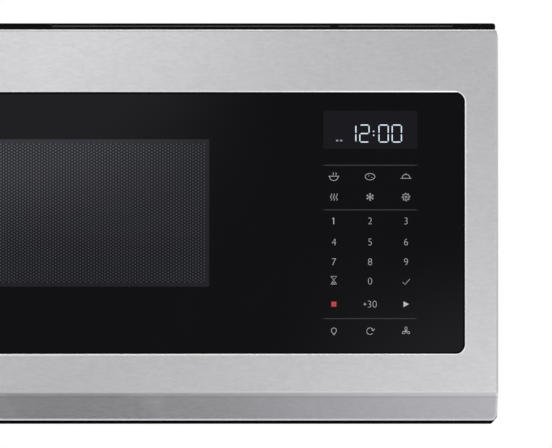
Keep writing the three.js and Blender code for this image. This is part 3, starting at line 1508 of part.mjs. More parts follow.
// ---------------------------------------------------------------- door interlock
const boardInner = switchWidth / 2 + seat;
const switchLength = 28;
const switches = [
  ['primary', lowerHookZ + 5.3, lowerHookZ + 5.3 + switchLength, lowerHookZ + 9],
  ['monitor', lowerHookZ - 5.3 - switchLength + 9, lowerHookZ + 3.7 - seat, lowerHookZ - 1],
  ['secondary', upperHookZ - switchLength / 2, upperHookZ + switchLength / 2, upperHookZ],
];
function makeLatchBoard() {
  const low = lowerHookZ - 40;
  const high = upperHookZ + 32;
  const front = linerFront;
  const back = latchBoardBack;
  const wall = 2.5;
  const outer = boardInner + wall;
  const face = block(hookX - outer, hookX + outer, front, front + 2.5, low, high);
  const walls = [-1, 1].map((side) => block(
    hookX + (side < 0 ? -outer : boardInner), hookX + (side < 0 ? -boardInner : outer),
    front + 1, back, low, high,
  ));
  const slots = [lowerHookZ, upperHookZ].map((z) => block(
    hookX - hookThickness / 2 - 1.5, hookX + hookThickness / 2 + 2.5, front - 1, front + 4,
    z - hookHeight / 2 - 1.5, z + hookHeight / 2 + hookLift + 1.5,
  ));
  return cut(join(face, ...walls), ...slots);
}
add('latch_board', makeLatchBoard(), plasticWhite);

const plungerWidth = 3;
for (const [name, low, high, plungerZ] of switches) {
  const bodyFront = switchFront;
  const body = block(
    hookX - switchWidth / 2, hookX + switchWidth / 2, bodyFront, bodyFront + switchDepth, low, high,
  );
  const half = plungerWidth / 2;
  const well = block(
    hookX - half - seat, hookX + half + seat, bodyFront - 1, bodyFront + 10,
    plungerZ - half - seat, plungerZ + half + seat,
  );
  const lugs = [low + 4, high - 4].map((z) => block(
    hookX - 1, hookX + 1, bodyFront + switchDepth - 1, bodyFront + switchDepth + 6, z - 2.5, z + 2.5,
  ));
  add(`switch_${name}`, cut(join(body, ...lugs), well), plasticBlack);
  add(`plunger_${name}`, block(
    hookX - half, hookX + half, hookTip + seat, bodyFront + 8, plungerZ - half, plungerZ + half,
  ), plasticWhite);
}

export default model;
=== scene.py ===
import json
import math

import bmesh
import bpy
from mathutils import Matrix, Vector


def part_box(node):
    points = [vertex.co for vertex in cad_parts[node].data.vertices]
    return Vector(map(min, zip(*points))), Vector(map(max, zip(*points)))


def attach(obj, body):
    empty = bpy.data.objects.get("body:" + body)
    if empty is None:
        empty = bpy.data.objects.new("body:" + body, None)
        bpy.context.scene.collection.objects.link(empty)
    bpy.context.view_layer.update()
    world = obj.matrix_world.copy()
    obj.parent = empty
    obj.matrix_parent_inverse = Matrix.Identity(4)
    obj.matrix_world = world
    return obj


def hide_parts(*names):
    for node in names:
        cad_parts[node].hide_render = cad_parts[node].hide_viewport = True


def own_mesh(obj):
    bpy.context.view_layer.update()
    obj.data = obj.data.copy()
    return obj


mm = 0.001
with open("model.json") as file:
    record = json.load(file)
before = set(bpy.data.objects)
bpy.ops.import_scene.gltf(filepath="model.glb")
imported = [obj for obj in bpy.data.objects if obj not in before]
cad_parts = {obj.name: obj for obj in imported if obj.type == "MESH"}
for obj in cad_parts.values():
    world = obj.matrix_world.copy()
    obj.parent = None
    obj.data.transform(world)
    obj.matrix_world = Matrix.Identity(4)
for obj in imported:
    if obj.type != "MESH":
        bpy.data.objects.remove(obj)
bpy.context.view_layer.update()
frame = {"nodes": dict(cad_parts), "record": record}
nodes = frame["nodes"]
print("frame loaded:", len(nodes), "nodes")

nodeGrid = {"columns": 8, "across": 180, "down": 260}  # spacing of the nodes in the editor


# node helpers
def feed(tree, term, node, socket):
    # a term is a number, a colour, or the (node, output) that it comes from
    if isinstance(term, tuple) and isinstance(term[0], bpy.types.Node):
        tree.links.new(term[0].outputs[term[1]], node.inputs[socket])
    else:
        node.inputs[socket].default_value = (*term, 1.0) if isinstance(term, tuple) else term


def place(tree, kind, terms=None, **settings):
    node = tree.nodes.new("ShaderNode" + kind)
    row, column = divmod(len(tree.nodes), nodeGrid["columns"])
    node.location = (column * nodeGrid["across"], -row * nodeGrid["down"])
    for key, value in settings.items():
        setattr(node, key, value)
    for socket, term in (terms or {}).items():
        feed(tree, term, node, socket)
    return node


def calc(tree, operation, *terms, clamp=False):
    return place(tree, "Math", dict(enumerate(terms)), operation=operation, use_clamp=clamp), 0


def ramp(tree, source, low, high, outLow=0.0, outHigh=1.0, smooth=False):
    terms = dict(enumerate((source, low, high, outLow, outHigh)))
    kind = "SMOOTHSTEP" if smooth else "LINEAR"
    return place(tree, "MapRange", terms, interpolation_type=kind, clamp=True), 0


def blendColours(tree, factor, first, second):
    terms = {0: factor, 6: first, 7: second}
    return place(tree, "Mix", terms, data_type="RGBA", clamp_factor=True), 2


def blendShaders(tree, factor, first, second):
    return place(tree, "MixShader", {0: factor, 1: first, 2: second}), 0


def splitAxes(tree, source):
    return place(tree, "SeparateXYZ", {0: source})


def addNoise(tree, spot, scale, detail, roughness=0.5, distortion=0.0):
    terms = {"Vector": spot, "Scale": scale, "Detail": detail, "Roughness": roughness,
             "Distortion": distortion}
    return place(tree, "TexNoise", terms), 0


def addCells(tree, spot, scale, **settings):
    return place(tree, "TexVoronoi", {"Vector": spot, "Scale": scale}, **settings)


def shade(colour, factor, lift=0.0):
    return tuple(value * factor + lift for value in colour)


def newGroup(name, inputs, outputs):
    # every input beside the vector, and every output, is a number
    tree = bpy.data.node_groups.new(name, "ShaderNodeTree")
    tree.interface.new_socket(name="Vector", in_out="INPUT", socket_type="NodeSocketVector")
    for label, value in inputs.items():
        socket = tree.interface.new_socket(name=label, in_out="INPUT", socket_type="NodeSocketFloat")
        socket.default_value = value
    for label in outputs:
        tree.interface.new_socket(name=label, in_out="OUTPUT", socket_type="NodeSocketFloat")
    return tree, tree.nodes.new("NodeGroupInput"), tree.nodes.new("NodeGroupOutput")


def makeGrainGroup():
    # long fine streaks along X, as brushing leaves them
    tree, start, end = newGroup("brushedGrain", {"Across": 900.0, "Along": 9.0}, ("Streaks", "Fine"))
    split = splitAxes(tree, (start, "Vector"))
    for finer, output in ((1.0, "Streaks"), (3.7, "Fine")):
        along = calc(tree, "MULTIPLY", (split, "X"), (start, "Along"))
        across = calc(tree, "MULTIPLY", (start, "Across"), finer)
        high = calc(tree, "MULTIPLY", (split, "Z"), across)
        deep = calc(tree, "MULTIPLY", (split, "Y"), across)
        stretched = place(tree, "CombineXYZ", {0: along, 1: deep, 2: high})
        noise = addNoise(tree, (stretched, 0), 1.0, 3.0, roughness=0.62)
        feed(tree, noise, end, output)
    return tree


def makeWearGroup():
    # soft handling smudges, faint rub marks and settled dust
    tree, start, end = newGroup("handlingWear", {"Scale": 14.0}, ("Smudge", "Rubbed", "Dust"))
    spot, scale = (start, "Vector"), (start, "Scale")
    broad = addNoise(tree, spot, scale, 4.0, roughness=0.6, distortion=0.6)
    feed(tree, ramp(tree, broad, 0.42, 0.68, smooth=True), end, "Smudge")
    rub = addNoise(tree, spot, calc(tree, "MULTIPLY", scale, 11.0), 5.0, roughness=0.7)
    feed(tree, ramp(tree, rub, 0.6, 0.74), end, "Rubbed")
    facing = place(tree, "NewGeometry")
    up = ramp(tree, (splitAxes(tree, (facing, "Normal")), "Z"), 0.55, 0.98)
    feed(tree, calc(tree, "MULTIPLY", up, broad), end, "Dust")
    return tree


def makePebbleGroup():
    # the fine pebbling of moulded plastic and powder coat
    tree, start, end = newGroup("finePebble", {"Scale": 900.0}, ("Value", "Height"))
    spot, scale = (start, "Vector"), (start, "Scale")
    noise = addNoise(tree, spot, scale, 3.0, roughness=0.55)
    cells = addCells(tree, spot, scale, feature="SMOOTH_F1")
    feed(tree, noise, end, "Value")
    feed(tree, calc(tree, "ADD", noise, (cells, "Distance")), end, "Height")
    return tree


def makeDotGroup():
    # round dots in staggered columns over X and Z, 1 inside a dot
    tree, start, end = newGroup(
        "dotField", {"Column": 0.003, "Row": 0.0034, "Radius": 0.001, "Edge": 0.0003}, ("Dots",))
    split = splitAxes(tree, (start, "Vector"))
    across = calc(tree, "DIVIDE", (split, "X"), (start, "Column"))
    odd = calc(tree, "FLOORED_MODULO", calc(tree, "FLOOR", across), 2.0)
    up = calc(tree, "DIVIDE", (split, "Z"), (start, "Row"))
    shifted = calc(tree, "MULTIPLY_ADD", odd, 0.5, up)  # odd columns stand half a row higher
    squares = []
    for source, pitch in ((across, "Column"), (shifted, "Row")):
        middle = calc(tree, "SUBTRACT", calc(tree, "FRACT", source), 0.5)
        length = calc(tree, "MULTIPLY", middle, (start, pitch))
        squares.append(calc(tree, "POWER", length, 2.0))
    distance = calc(tree, "SQRT", calc(tree, "ADD", *squares))
    past = calc(tree, "SUBTRACT", distance, (start, "Radius"))
    soft = calc(tree, "DIVIDE", past, (start, "Edge"))
    feed(tree, calc(tree, "SUBTRACT", 0.5, soft, clamp=True), end, "Dots")
    return tree


def makeFieldGroup():
    # 1 inside a rectangle over X and Z
    edges = {"Left": 0.0, "Right": 1.0, "Low": 0.0, "High": 1.0}
    tree, start, end = newGroup("panelField", edges, ("Inside",))
    split = splitAxes(tree, (start, "Vector"))
    inside = 1.0
    for axis, test, edge in (("X", "GREATER_THAN", "Left"), ("X", "LESS_THAN", "Right"),
                             ("Z", "GREATER_THAN", "Low"), ("Z", "LESS_THAN", "High")):
        inside = calc(tree, "MULTIPLY", inside, calc(tree, test, (split, axis), (start, edge)))
    feed(tree, inside, end, "Inside")
    return tree


grainGroup = makeGrainGroup()
wearGroup = makeWearGroup()
pebbleGroup = makePebbleGroup()
dotGroup = makeDotGroup()
fieldGroup = makeFieldGroup()


def useGroup(tree, group, spot, **terms):
    return place(tree, "Group", {"Vector": spot, **terms}, node_tree=group)


def maskField(tree, spot, edges, margin=0.0):
    left, right, low, high = edges
    field = useGroup(tree, fieldGroup, spot, Left=(left + margin) * mm, Right=(right - margin) * mm,
                     Low=(low + margin) * mm, High=(high - margin) * mm)
    return field, "Inside"


def maskDots(tree, spot, finish):
    dots = useGroup(tree, dotGroup, spot, Column=finish["column"] * mm, Row=finish["row"] * mm,
                    Radius=finish["radius"] * mm, Edge=finish["soft"] * mm)
    return dots, "Dots"


def startMaterial(name, shaderTerms):
    material = bpy.data.materials.new(name)
    material.use_nodes = True
    tree = material.node_tree
    tree.nodes.clear()
    shader = place(tree, "BsdfPrincipled", shaderTerms)
    place(tree, "OutputMaterial", {"Surface": (shader, 0)})
    return tree, shader, (place(tree, "TexCoord"), "Object")


def soil(tree, spot, finish, roughness):
    # smudges make a surface duller; the wear's other masks go with the colour
    wear = useGroup(tree, wearGroup, spot, Scale=finish["smudgeScale"])
    return wear, calc(tree, "MULTIPLY_ADD", (wear, "Smudge"), finish["smudge"], roughness)


def endMaterial(tree, shader, colour, roughness, height=None, strength=0.0, distance=0.0):
    feed(tree, colour, shader, "Base Color")
    feed(tree, roughness, shader, "Roughness")
    if height:
        terms = {"Height": height, "Strength": strength, "Distance": distance}
        feed(tree, (place(tree, "Bump", terms), 0), shader, "Normal")


# finishes; lengths are in millimetres, a bump is its strength and its depth in metres, and a
# roughness in brackets runs from the smoothest spots to the dullest
steelFinish = {
    "colour": (0.583, 0.583, 0.588), "darkStreak": (0.508, 0.508, 0.515), "roughness": (0.28, 0.38),
    "across": 400.0, "along": 140.0, "smudgeScale": 9.0, "smudge": 0.03, "bump": (0.12, 0.00006),
    "bendShadeBands": (), "bendShadeEdge": 0.35,
}
steels = {
    "frontSteel": {"bendShadeBands": (  # middle height, half height and tone of the painted shade and highlight bands along the bend
        (34.3, 1.25, (0.485, 0.485, 0.49)), (31.6, 1.35, (0.645, 0.645, 0.65)),
        (28.7, 1.0, (0.50, 0.50, 0.505)))},
    # the rim round the glass hole: smoother steel, its colour raised far above the front's as a painted
    # highlight
    "rimSteel": {"colour": (0.93, 0.93, 0.94), "darkStreak": (0.88, 0.88, 0.89), "roughness": (0.15, 0.25),
                 "across": 2400.0, "along": 12.0},
    "springSteel": {"colour": (0.5, 0.5, 0.52), "darkStreak": (0.4, 0.4, 0.42)},
    "brightAluminium": {"colour": (0.66, 0.67, 0.68), "darkStreak": (0.56, 0.57, 0.58)},
}


def makeBand(tree, spot, middle, half, soft):
    # 1 within a level band of the height, 0 beyond it
    away = calc(tree, "ABSOLUTE", calc(tree, "SUBTRACT", (splitAxes(tree, spot), "Z"), middle * mm))
    return ramp(tree, away, (half - soft) * mm, (half + soft) * mm, 1.0, 0.0)


def makeBrushedSteel(name, finish):
    tree, shader, spot = startMaterial(name, {"Metallic": 1.0})
    grain = useGroup(tree, grainGroup, spot, Across=finish["across"], Along=finish["along"])
    streak = ramp(tree, (grain, "Streaks"), 0.25, 0.75)
    colour = blendColours(tree, streak, finish["darkStreak"], finish["colour"])
    # painted shade and highlight: level bands of darker and lighter tone along the bend
    for middle, half, tone in finish["bendShadeBands"]:
        bendShade = makeBand(tree, spot, middle, half, finish["bendShadeEdge"])
        colour = blendColours(tree, bendShade, colour, tone)
    rough = ramp(tree, (grain, "Fine"), 0.25, 0.75, *finish["roughness"])
    soiled = soil(tree, spot, finish, rough)[1]
    endMaterial(tree, shader, colour, soiled, (grain, "Fine"), *finish["bump"])


glassFinish = {
    "colour": (0.0007, 0.0007, 0.0018), "specular": 0.13,
    "border": (0.0283, 0.0285, 0.0338), "field": (0.0178, 0.0182, 0.0220), "dot": (0.0750, 0.0772, 0.0880),
    "display": (0.0049, 0.0044, 0.0068),
    "window": (-279.0, 66.5, 148.4, 307.8),  # left, right, low, high
    "margin": 4.6,  # plain border round the dots
    "displayPane": (190.0, 291.6, 297.5, 338.5),  # in the same order
    "column": 2.972, "row": 3.415, "radius": 0.95, "soft": 0.5,  # spacing, radius and soft edge of the dots
    "windowMetal": 0.9, "smudgeScale": 7.0, "smudge": 0.05, "roughness": 0.05, "windowRoughness": 0.04,
    "rippleScale": 6.0, "bump": (0.05, 0.0004),
}


def makeFrontGlass(name, finish):
    tree, shader, spot = startMaterial(name, {"Specular IOR Level": finish["specular"]})
    window = maskField(tree, spot, finish["window"])
    inner = maskField(tree, spot, finish["window"], finish["margin"])
    pane = maskField(tree, spot, finish["displayPane"])
    shown = calc(tree, "MULTIPLY", maskDots(tree, spot, finish), inner)
    colour = finish["colour"]
    for mask, tone in ((window, "border"), (inner, "field"), (shown, "dot"), (pane, "display")):
        colour = blendColours(tree, mask, colour, finish[tone])
    feed(tree, calc(tree, "MULTIPLY", window, finish["windowMetal"]), shader, "Metallic")
    smooth = soil(tree, spot, finish, finish["roughness"])[1]
    rough = calc(tree, "MULTIPLY_ADD", window, finish["windowRoughness"], smooth)
    ripple = addNoise(tree, spot, finish["rippleScale"], 1.0)
    endMaterial(tree, shader, colour, rough, ripple, *finish["bump"])


coatFinish = {  # moulded plastic, powder coat and enamel: pebbled, a little dusty on top
    "specular": 0.42, "coat": 0.0, "coatRoughness": 0.12, "rubbed": 0.3, "dust": 0.1,
    "dustColour": (0.30, 0.29, 0.27), "smudgeScale": 11.0, "smudge": 0.07, "depth": 0.00012,
}
coats = {
    "blackPlastic": {"colour": (0.0050, 0.0050, 0.0055), "roughness": (0.37, 0.49), "scale": 1400.0,
                     "strength": 0.2, "dust": 0.12, "specular": 0.16},
    "whitePlastic": {"colour": (0.62, 0.61, 0.58), "roughness": (0.37, 0.49), "scale": 1100.0,
                     "strength": 0.12},
    "blackPaint": {"colour": (0.0075, 0.0075, 0.0082), "roughness": (0.53, 0.65), "scale": 2200.0,
                   "strength": 0.3, "specular": 0.17},
    "blackTrim": {"colour": (0.0013, 0.0013, 0.0015), "roughness": (0.35, 0.47), "scale": 1400.0,
                  "strength": 0.12, "dust": 0.04, "specular": 0.04},
    # matt near-black finish of the ring that paints the shadow of the gap round the glass
    "sealRubber": {"colour": (0.0008, 0.0008, 0.0008), "roughness": (0.80, 0.92), "scale": 1800.0,
                   "strength": 0.2, "dust": 0.02, "specular": 0.02},
    "grilleGrey": {"colour": (0.030, 0.030, 0.031), "roughness": (0.45, 0.57), "scale": 1600.0,
                   "strength": 0.2, "specular": 0.2},
    "greyEnamel": {"colour": (0.42, 0.43, 0.44), "roughness": (0.25, 0.37), "scale": 500.0, "strength": 0.06,
                   "dust": 0.05, "coat": 0.35},
}


def makeCoated(name, finish):
    tree, shader, spot = startMaterial(name, {
        "Specular IOR Level": finish["specular"], "Coat Weight": finish["coat"],
        "Coat Roughness": finish["coatRoughness"]})
    pebble = useGroup(tree, pebbleGroup, spot, Scale=finish["scale"])
    rough = ramp(tree, (pebble, "Value"), 0.2, 0.8, *finish["roughness"])
    wear, soiled = soil(tree, spot, finish, rough)
    colour = finish["colour"]
    mottled = blendColours(tree, (pebble, "Value"), colour, shade(colour, 1.18, 0.002))
    marked = calc(tree, "MULTIPLY", (wear, "Rubbed"), finish["rubbed"])
    rubbed = blendColours(tree, marked, mottled, shade(colour, 1.5, 0.004))
    settled = calc(tree, "MULTIPLY", (wear, "Dust"), finish["dust"])
    dusty = blendColours(tree, settled, rubbed, finish["dustColour"])
    endMaterial(tree, shader, dusty, soiled, (pebble, "Height"), finish["strength"], finish["depth"])


zincFinish = {
    "colour": (0.47, 0.48, 0.49), "pale": (0.56, 0.57, 0.58),
    "stainColour": (0.36, 0.36, 0.35), "stain": 0.35, "smudgeScale": 16.0,
    "metallic": 0.92, "spangle": 170.0, "roughness": (0.31, 0.48), "bump": (0.06, 0.0001),
}


def makeGalvanised(name, finish):
    # crystals of the zinc coat show as flat spangles
    tree, shader, spot = startMaterial(name, {"Metallic": finish["metallic"]})
    cells = addCells(tree, spot, finish["spangle"])
    tone = place(tree, "SeparateColor", {0: (cells, "Color")})
    colour = blendColours(tree, (tone, 0), finish["colour"], finish["pale"])
    wear = useGroup(tree, wearGroup, spot, Scale=finish["smudgeScale"])
    stain = calc(tree, "MULTIPLY", (wear, "Smudge"), finish["stain"])
    dull = blendColours(tree, stain, colour, finish["stainColour"])
    rough = ramp(tree, (tone, 1), 0.0, 1.0, *finish["roughness"])
    endMaterial(tree, shader, dull, rough, (cells, "Distance"), *finish["bump"])


sheerFinish = {"smudgeScale": 12.0, "haze": 0.35, "smudge": 0.04, "passed": 0.92}
sheers = {
    "clearGlass": {"tint": (0.93, 0.97, 0.965), "roughness": 0.03, "ripple": 60.0, "bump": (0.04, 0.0003)},
    "lensGlass": {"tint": (0.95, 0.95, 0.93), "roughness": 0.16, "ribs": 38.0, "bump": (0.5, 0.0012)},
}


def makeSheerGlass(name, finish):
    tree, shader, spot = startMaterial(name, {"Transmission Weight": 1.0, "IOR": 1.5})
    tint = finish["tint"]
    # shadows and soft light pass, so that what is behind it isn't left dark
    path = place(tree, "LightPath")
    soft = calc(tree, "MAXIMUM", (path, "Is Shadow Ray"), (path, "Is Diffuse Ray"))
    passed = place(tree, "BsdfTransparent", {"Color": shade(tint, finish["passed"])})
    both = blendShaders(tree, soft, (shader, 0), (passed, 0))
    feed(tree, both, tree.nodes["Material Output"], "Surface")
    wear, rough = soil(tree, spot, finish, finish["roughness"])
    hazy = calc(tree, "MULTIPLY", (wear, "Smudge"), finish["haze"])
    colour = blendColours(tree, hazy, tint, shade(tint, 0.95))
    if "ribs" in finish:
        terms = {"Vector": spot, "Scale": finish["ribs"], "Distortion": 0.0}
        height = (place(tree, "TexWave", terms, bands_direction="X"), "Fac")
    else:
        height = addNoise(tree, spot, finish["ripple"], 1.0)
    endMaterial(tree, shader, colour, rough, height, *finish["bump"])


screenFinish = {
    # the hole colour is painted shade, for the dark seen through the holes
    "colour": (0.022, 0.022, 0.024), "hole": (0.002, 0.002, 0.002),
    "roughness": (0.35, 0.48), "grain": 1500.0,
    "column": 2.9 * 0.866, "row": 2.9, "radius": 0.8, "soft": 0.25,
    "holes": (-276, 62.7, 151.4, 305.4),  # left, right, low, high
    "bump": (-0.6, 0.0006),
}


def makePerforated(name, finish):
    tree, shader, spot = startMaterial(name, {})
    inner = maskField(tree, spot, finish["holes"])
    holes = calc(tree, "MULTIPLY", maskDots(tree, spot, finish), inner)
    pebble = useGroup(tree, pebbleGroup, spot, Scale=finish["grain"])
    mottled = blendColours(tree, (pebble, "Value"), finish["colour"], shade(finish["colour"], 1.3))
    # the holes are painted near black as shade
    colour = blendColours(tree, holes, mottled, finish["hole"])
    rough = ramp(tree, (pebble, "Value"), 0.2, 0.8, *finish["roughness"])
    endMaterial(tree, shader, colour, rough, holes, *finish["bump"])


padFinish = {"slant": 1.6, "smudgeScale": 30.0, "smudge": 0.12, "bump": (0.9, 0.0009)}
pads = {
    "meshAluminium": {"colour": (0.52, 0.53, 0.54), "thread": 9.0, "metallic": 0.9, "roughness": 0.34},
    "charcoalPad": {"colour": (0.05, 0.05, 0.052), "thread": 5.0, "metallic": 0.0, "roughness": 0.8},
}


def makeMeshPad(name, finish):
    # layered expanded mesh or a pleated pad, as crossed waves over X and Y, with painted shade between the
    # waves
    tree, shader, spot = startMaterial(name, {"Metallic": finish["metallic"]})
    split = splitAxes(tree, spot)
    waves = []
    for slant in (finish["slant"], -finish["slant"]):
        slanted = calc(tree, "MULTIPLY_ADD", (split, "Y"), slant, (split, "X"))
        scaled = calc(tree, "MULTIPLY", slanted, 2 * math.pi / (finish["thread"] * mm))
        waves.append(calc(tree, "ABSOLUTE", calc(tree, "SINE", scaled)))
    lifted = ramp(tree, calc(tree, "MAXIMUM", *waves), 0.72, 0.97)
    # painted shade: the low parts between the raised strands are darkened to 0.12 of the colour
    colour = blendColours(tree, lifted, shade(finish["colour"], 0.12), finish["colour"])
    rough = soil(tree, spot, finish, finish["roughness"])[1]
    endMaterial(tree, shader, colour, rough, lifted, *finish["bump"])


boardFinish = {
    "resist": (0.006, 0.045, 0.02), "track": (0.010, 0.085, 0.035), "solder": (0.45, 0.46, 0.47),
    "trackScale": 260.0, "padScale": 420.0, "roughness": (0.32, 0.45), "bump": (0.3, 0.0001),
}


def makeBoard(name, finish):
    # green resist over tracks, with bare solder spots
    tree, shader, spot = startMaterial(name, {"Specular IOR Level": 0.5})
    cells = addCells(tree, spot, finish["trackScale"], distance="MANHATTAN")
    tracks = ramp(tree, (cells, "Distance"), 0.28, 0.34)
    colour = blendColours(tree, tracks, finish["track"], finish["resist"])
    spots = addCells(tree, spot, finish["padScale"])
    solder = ramp(tree, (spots, "Distance"), 0.12, 0.2, 1.0, 0.0)
    tinned = blendColours(tree, solder, colour, finish["solder"])
    rough = ramp(tree, tracks, 0.0, 1.0, *finish["roughness"])
    endMaterial(tree, shader, tinned, rough, tracks, *finish["bump"])


printFinish = {"specular": 0.1, "grain": 2600.0, "roughness": (0.45, 0.6)}
prints = {  # colour, and strength of the light of a lit segment
    "legendInk": ((0.40, 0.40, 0.41), 0.0),
    "lineInk": ((0.036, 0.036, 0.038), 0.0),
    "stopInk": ((0.38, 0.048, 0.053), 0.0),
    "clockLight": ((0.47, 0.545, 0.60), 0.34),
    "pilotLight": ((0.18, 0.215, 0.27), 0.3),
}


def makePrint(name, colour, glow, finish):
    tree, shader, spot = startMaterial(name, {"Specular IOR Level": finish["specular"]})
    noise = addNoise(tree, spot, finish["grain"], 2.0)
    ink = blendColours(tree, ramp(tree, noise, 0.3, 0.7), shade(colour, 0.9), colour)
    endMaterial(tree, shader, ink, ramp(tree, noise, 0.3, 0.7, *finish["roughness"]))
    if glow:
        feed(tree, ink, shader, "Emission Color")
        feed(tree, glow, shader, "Emission Strength")


for name, changes in steels.items():
    makeBrushedSteel(name, {**steelFinish, **changes})
makeFrontGlass("blackGlass", glassFinish)
for name, changes in coats.items():
    makeCoated(name, {**coatFinish, **changes})
makeGalvanised("zincSteel", zincFinish)
for name, changes in sheers.items():
    makeSheerGlass(name, {**sheerFinish, **changes})
makePerforated("screenEnamel", screenFinish)
for name, changes in pads.items():
    makeMeshPad(name, {**padFinish, **changes})
makeBoard("boardGreen", boardFinish)
for name, (colour, glow) in prints.items():
    makePrint(name, colour, glow, printFinish)
print("finishes made:", len(bpy.data.materials))

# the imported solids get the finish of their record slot, or one of their own
slotFinish = {
    "front_steel": "frontSteel", "black_glass": "blackGlass", "screen": "screenEnamel",
    "black_paint": "blackPaint", "grey_paint": "greyEnamel", "zinc_steel": "zincSteel",
    "spring_steel": "springSteel", "black_plastic": "blackPlastic", "white_plastic": "whitePlastic",
    "clear_glass": "clearGlass", "aluminium": "brightAluminium", "charcoal": "charcoalPad",
    "board": "boardGreen",
}
nodeFinish = {
    "top_grille": "blackTrim", "base_pan": "blackTrim", "handle_pocket": "blackTrim",
    "surface_lamp_left": "brightAluminium", "surface_lamp_right": "brightAluminium",
    "lamp_lens_left": "lensGlass", "lamp_lens_right": "lensGlass",
}
softened = {  # width of the rounding on a solid's edges, in millimetres, where it isn't the usual one
    "outer_cover": 0.5, "wall_plate": 0.0, "top_grille": 0.2, "base_pan": 0.6, "door_inner_cover": 0.6,
    "handle_pocket": 0.5, "front_frame": 0.35, "cavity_liner": 0.0, "door_choke_frame": 0.3,
    "glass_tray": 0.0, "roller_ring": 0.5, "latch_hooks": 0.5, "hinge_bracket_upper": 0.35,
    "hinge_bracket_lower": 0.3, "waveguide_cover": 0.3, "magnetron": 0.3, "hv_transformer": 0.8,
    "hv_capacitor": 0.8, "blower_rotor": 0.0, "latch_spring": 0.0, "magnetron_fan_wheel": 0.3,
    "cord_gland": 0.6,
}
dressing = {
    "softened": 0.4, "weld": 0.01, "sharpAngle": 38, "normalWeight": 60,
    "flatShaded": ("wall_plate",),  # its slotted face shades evenly without weighted normals
    "filterFrame": 8.0,  # width of the plain frame round the mesh of a grease filter
    "filterEven": 0.1,  # how far a face of the mesh may lean from level
}


def onFilterPad(face, vertices, low, high, size):
    # level faces between the filter's top and bottom, inside its frame
    edge, even = size["filterFrame"] * mm, size["filterEven"] * mm
    within = any(low[i] + edge < face.center[i] < high[i] - edge for i in (0, 1))
    level = max(abs(vertices[v].co.z - face.center.z) for v in face.vertices) < even
    outer = min(abs(face.center.z - low[2]), abs(face.center.z - high[2])) < even
    return within and level and not outer and abs(face.normal.z) > 0.9


def weightNormals(piece, weight=80):
    weighted = piece.modifiers.new("flatFaces", "WEIGHTED_NORMAL")
    weighted.keep_sharp = True
    weighted.weight = weight


def dressNode(name, finish, size):
    piece = nodes[name]
    mesh = piece.data
    mesh.materials.clear()
    mesh.materials.append(bpy.data.materials[finish])
    indices = [0] * len(mesh.polygons)
    if name.startswith("grease_filter"):
        mesh.materials.append(bpy.data.materials["meshAluminium"])
        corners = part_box(name)
        indices = [int(onFilterPad(face, mesh.vertices, *corners, size)) for face in mesh.polygons]
    mesh.polygons.foreach_set("material_index", indices)
    piece.modifiers.new("weld", "WELD").merge_threshold = size["weld"] * mm
    width = softened.get(name, size["softened"])
    if width:
        bevel = piece.modifiers.new("softEdge", "BEVEL")
        bevel.width = width * mm
        bevel.segments = 2
        bevel.limit_method = "ANGLE"
        bevel.angle_limit = math.radians(size["sharpAngle"])
        bevel.harden_normals = False
    smooth = name not in size["flatShaded"]
    mesh.polygons.foreach_set("use_smooth", [smooth] * len(mesh.polygons))
    if smooth:
        mesh.set_sharp_from_angle(angle=math.radians(size["sharpAngle"]))
        weightNormals(piece, size["normalWeight"])


for entry in frame["record"]["subparts"]:
    finish = nodeFinish.get(entry["node"], slotFinish[entry["material_slot"]])
    dressNode(entry["node"], finish, dressing)
print("solids dressed:", len(nodes))


# mesh helpers; points are in millimetres
def addObject(name, data):
    thing = bpy.data.objects.new(name, data)
    bpy.context.scene.collection.objects.link(thing)
    return thing


def newPiece(name, mesh, finishes, body, replaced=()):
    piece = addObject(name, mesh)
    for finish in finishes:
        mesh.materials.append(bpy.data.materials[finish])
    if replaced:
        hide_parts(*replaced)
    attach(piece, body)
    return piece


def smoothed(mesh, sharp):
    mesh.polygons.foreach_set("use_smooth", [True] * len(mesh.polygons))
    mesh.set_sharp_from_angle(angle=math.radians(sharp))
    return mesh


def toMesh(bm, name):
    mesh = bpy.data.meshes.new(name)
    bm.to_mesh(mesh)
    bm.free()
    return mesh


def solidMesh(bm, name, sharp):
    bmesh.ops.recalc_face_normals(bm, faces=bm.faces)
    return smoothed(toMesh(bm, name), sharp)


def newSolid(name, bm, size, finish, body, replaced=()):
    return newPiece(name, solidMesh(bm, name, size["sharpAngle"]), [finish], body, replaced)


def bakeMesh(carrier, name, *others):
    # the mesh that an object comes to with its modifiers; the objects go
    bpy.context.view_layer.update()
    graph = bpy.context.evaluated_depsgraph_get()
    mesh = bpy.data.meshes.new_from_object(carrier.evaluated_get(graph), depsgraph=graph)
    for thing in (carrier, *others):
        bpy.data.objects.remove(thing)
    mesh.name = name
    return mesh


def addLoop(bm, points):
    return [bm.verts.new((x * mm, y * mm, z * mm)) for x, y, z in points]


def following(loop):
    return zip(loop, loop[1:] + loop[:1])


def skin(bm, loops, caps=False):
    # faces from each loop to the next; a loop of one vertex is a tip
    for a, b in zip(loops, loops[1:]):
        count = max(len(a), len(b))
        for i in range(count):
            j = (i + 1) % count
            corners = (a[i % len(a)], a[j % len(a)], b[j % len(b)], b[i % len(b)])
            bm.faces.new(list(dict.fromkeys(corners)))
    if caps:
        bm.faces.new(list(reversed(loops[0])))
        bm.faces.new(loops[-1])


def polar(radius, degrees):
    angle = math.radians(degrees)
    return radius * math.cos(angle), radius * math.sin(angle)


def circle(radius, steps):
    return [polar(radius, 360 * i / steps) for i in range(steps)]


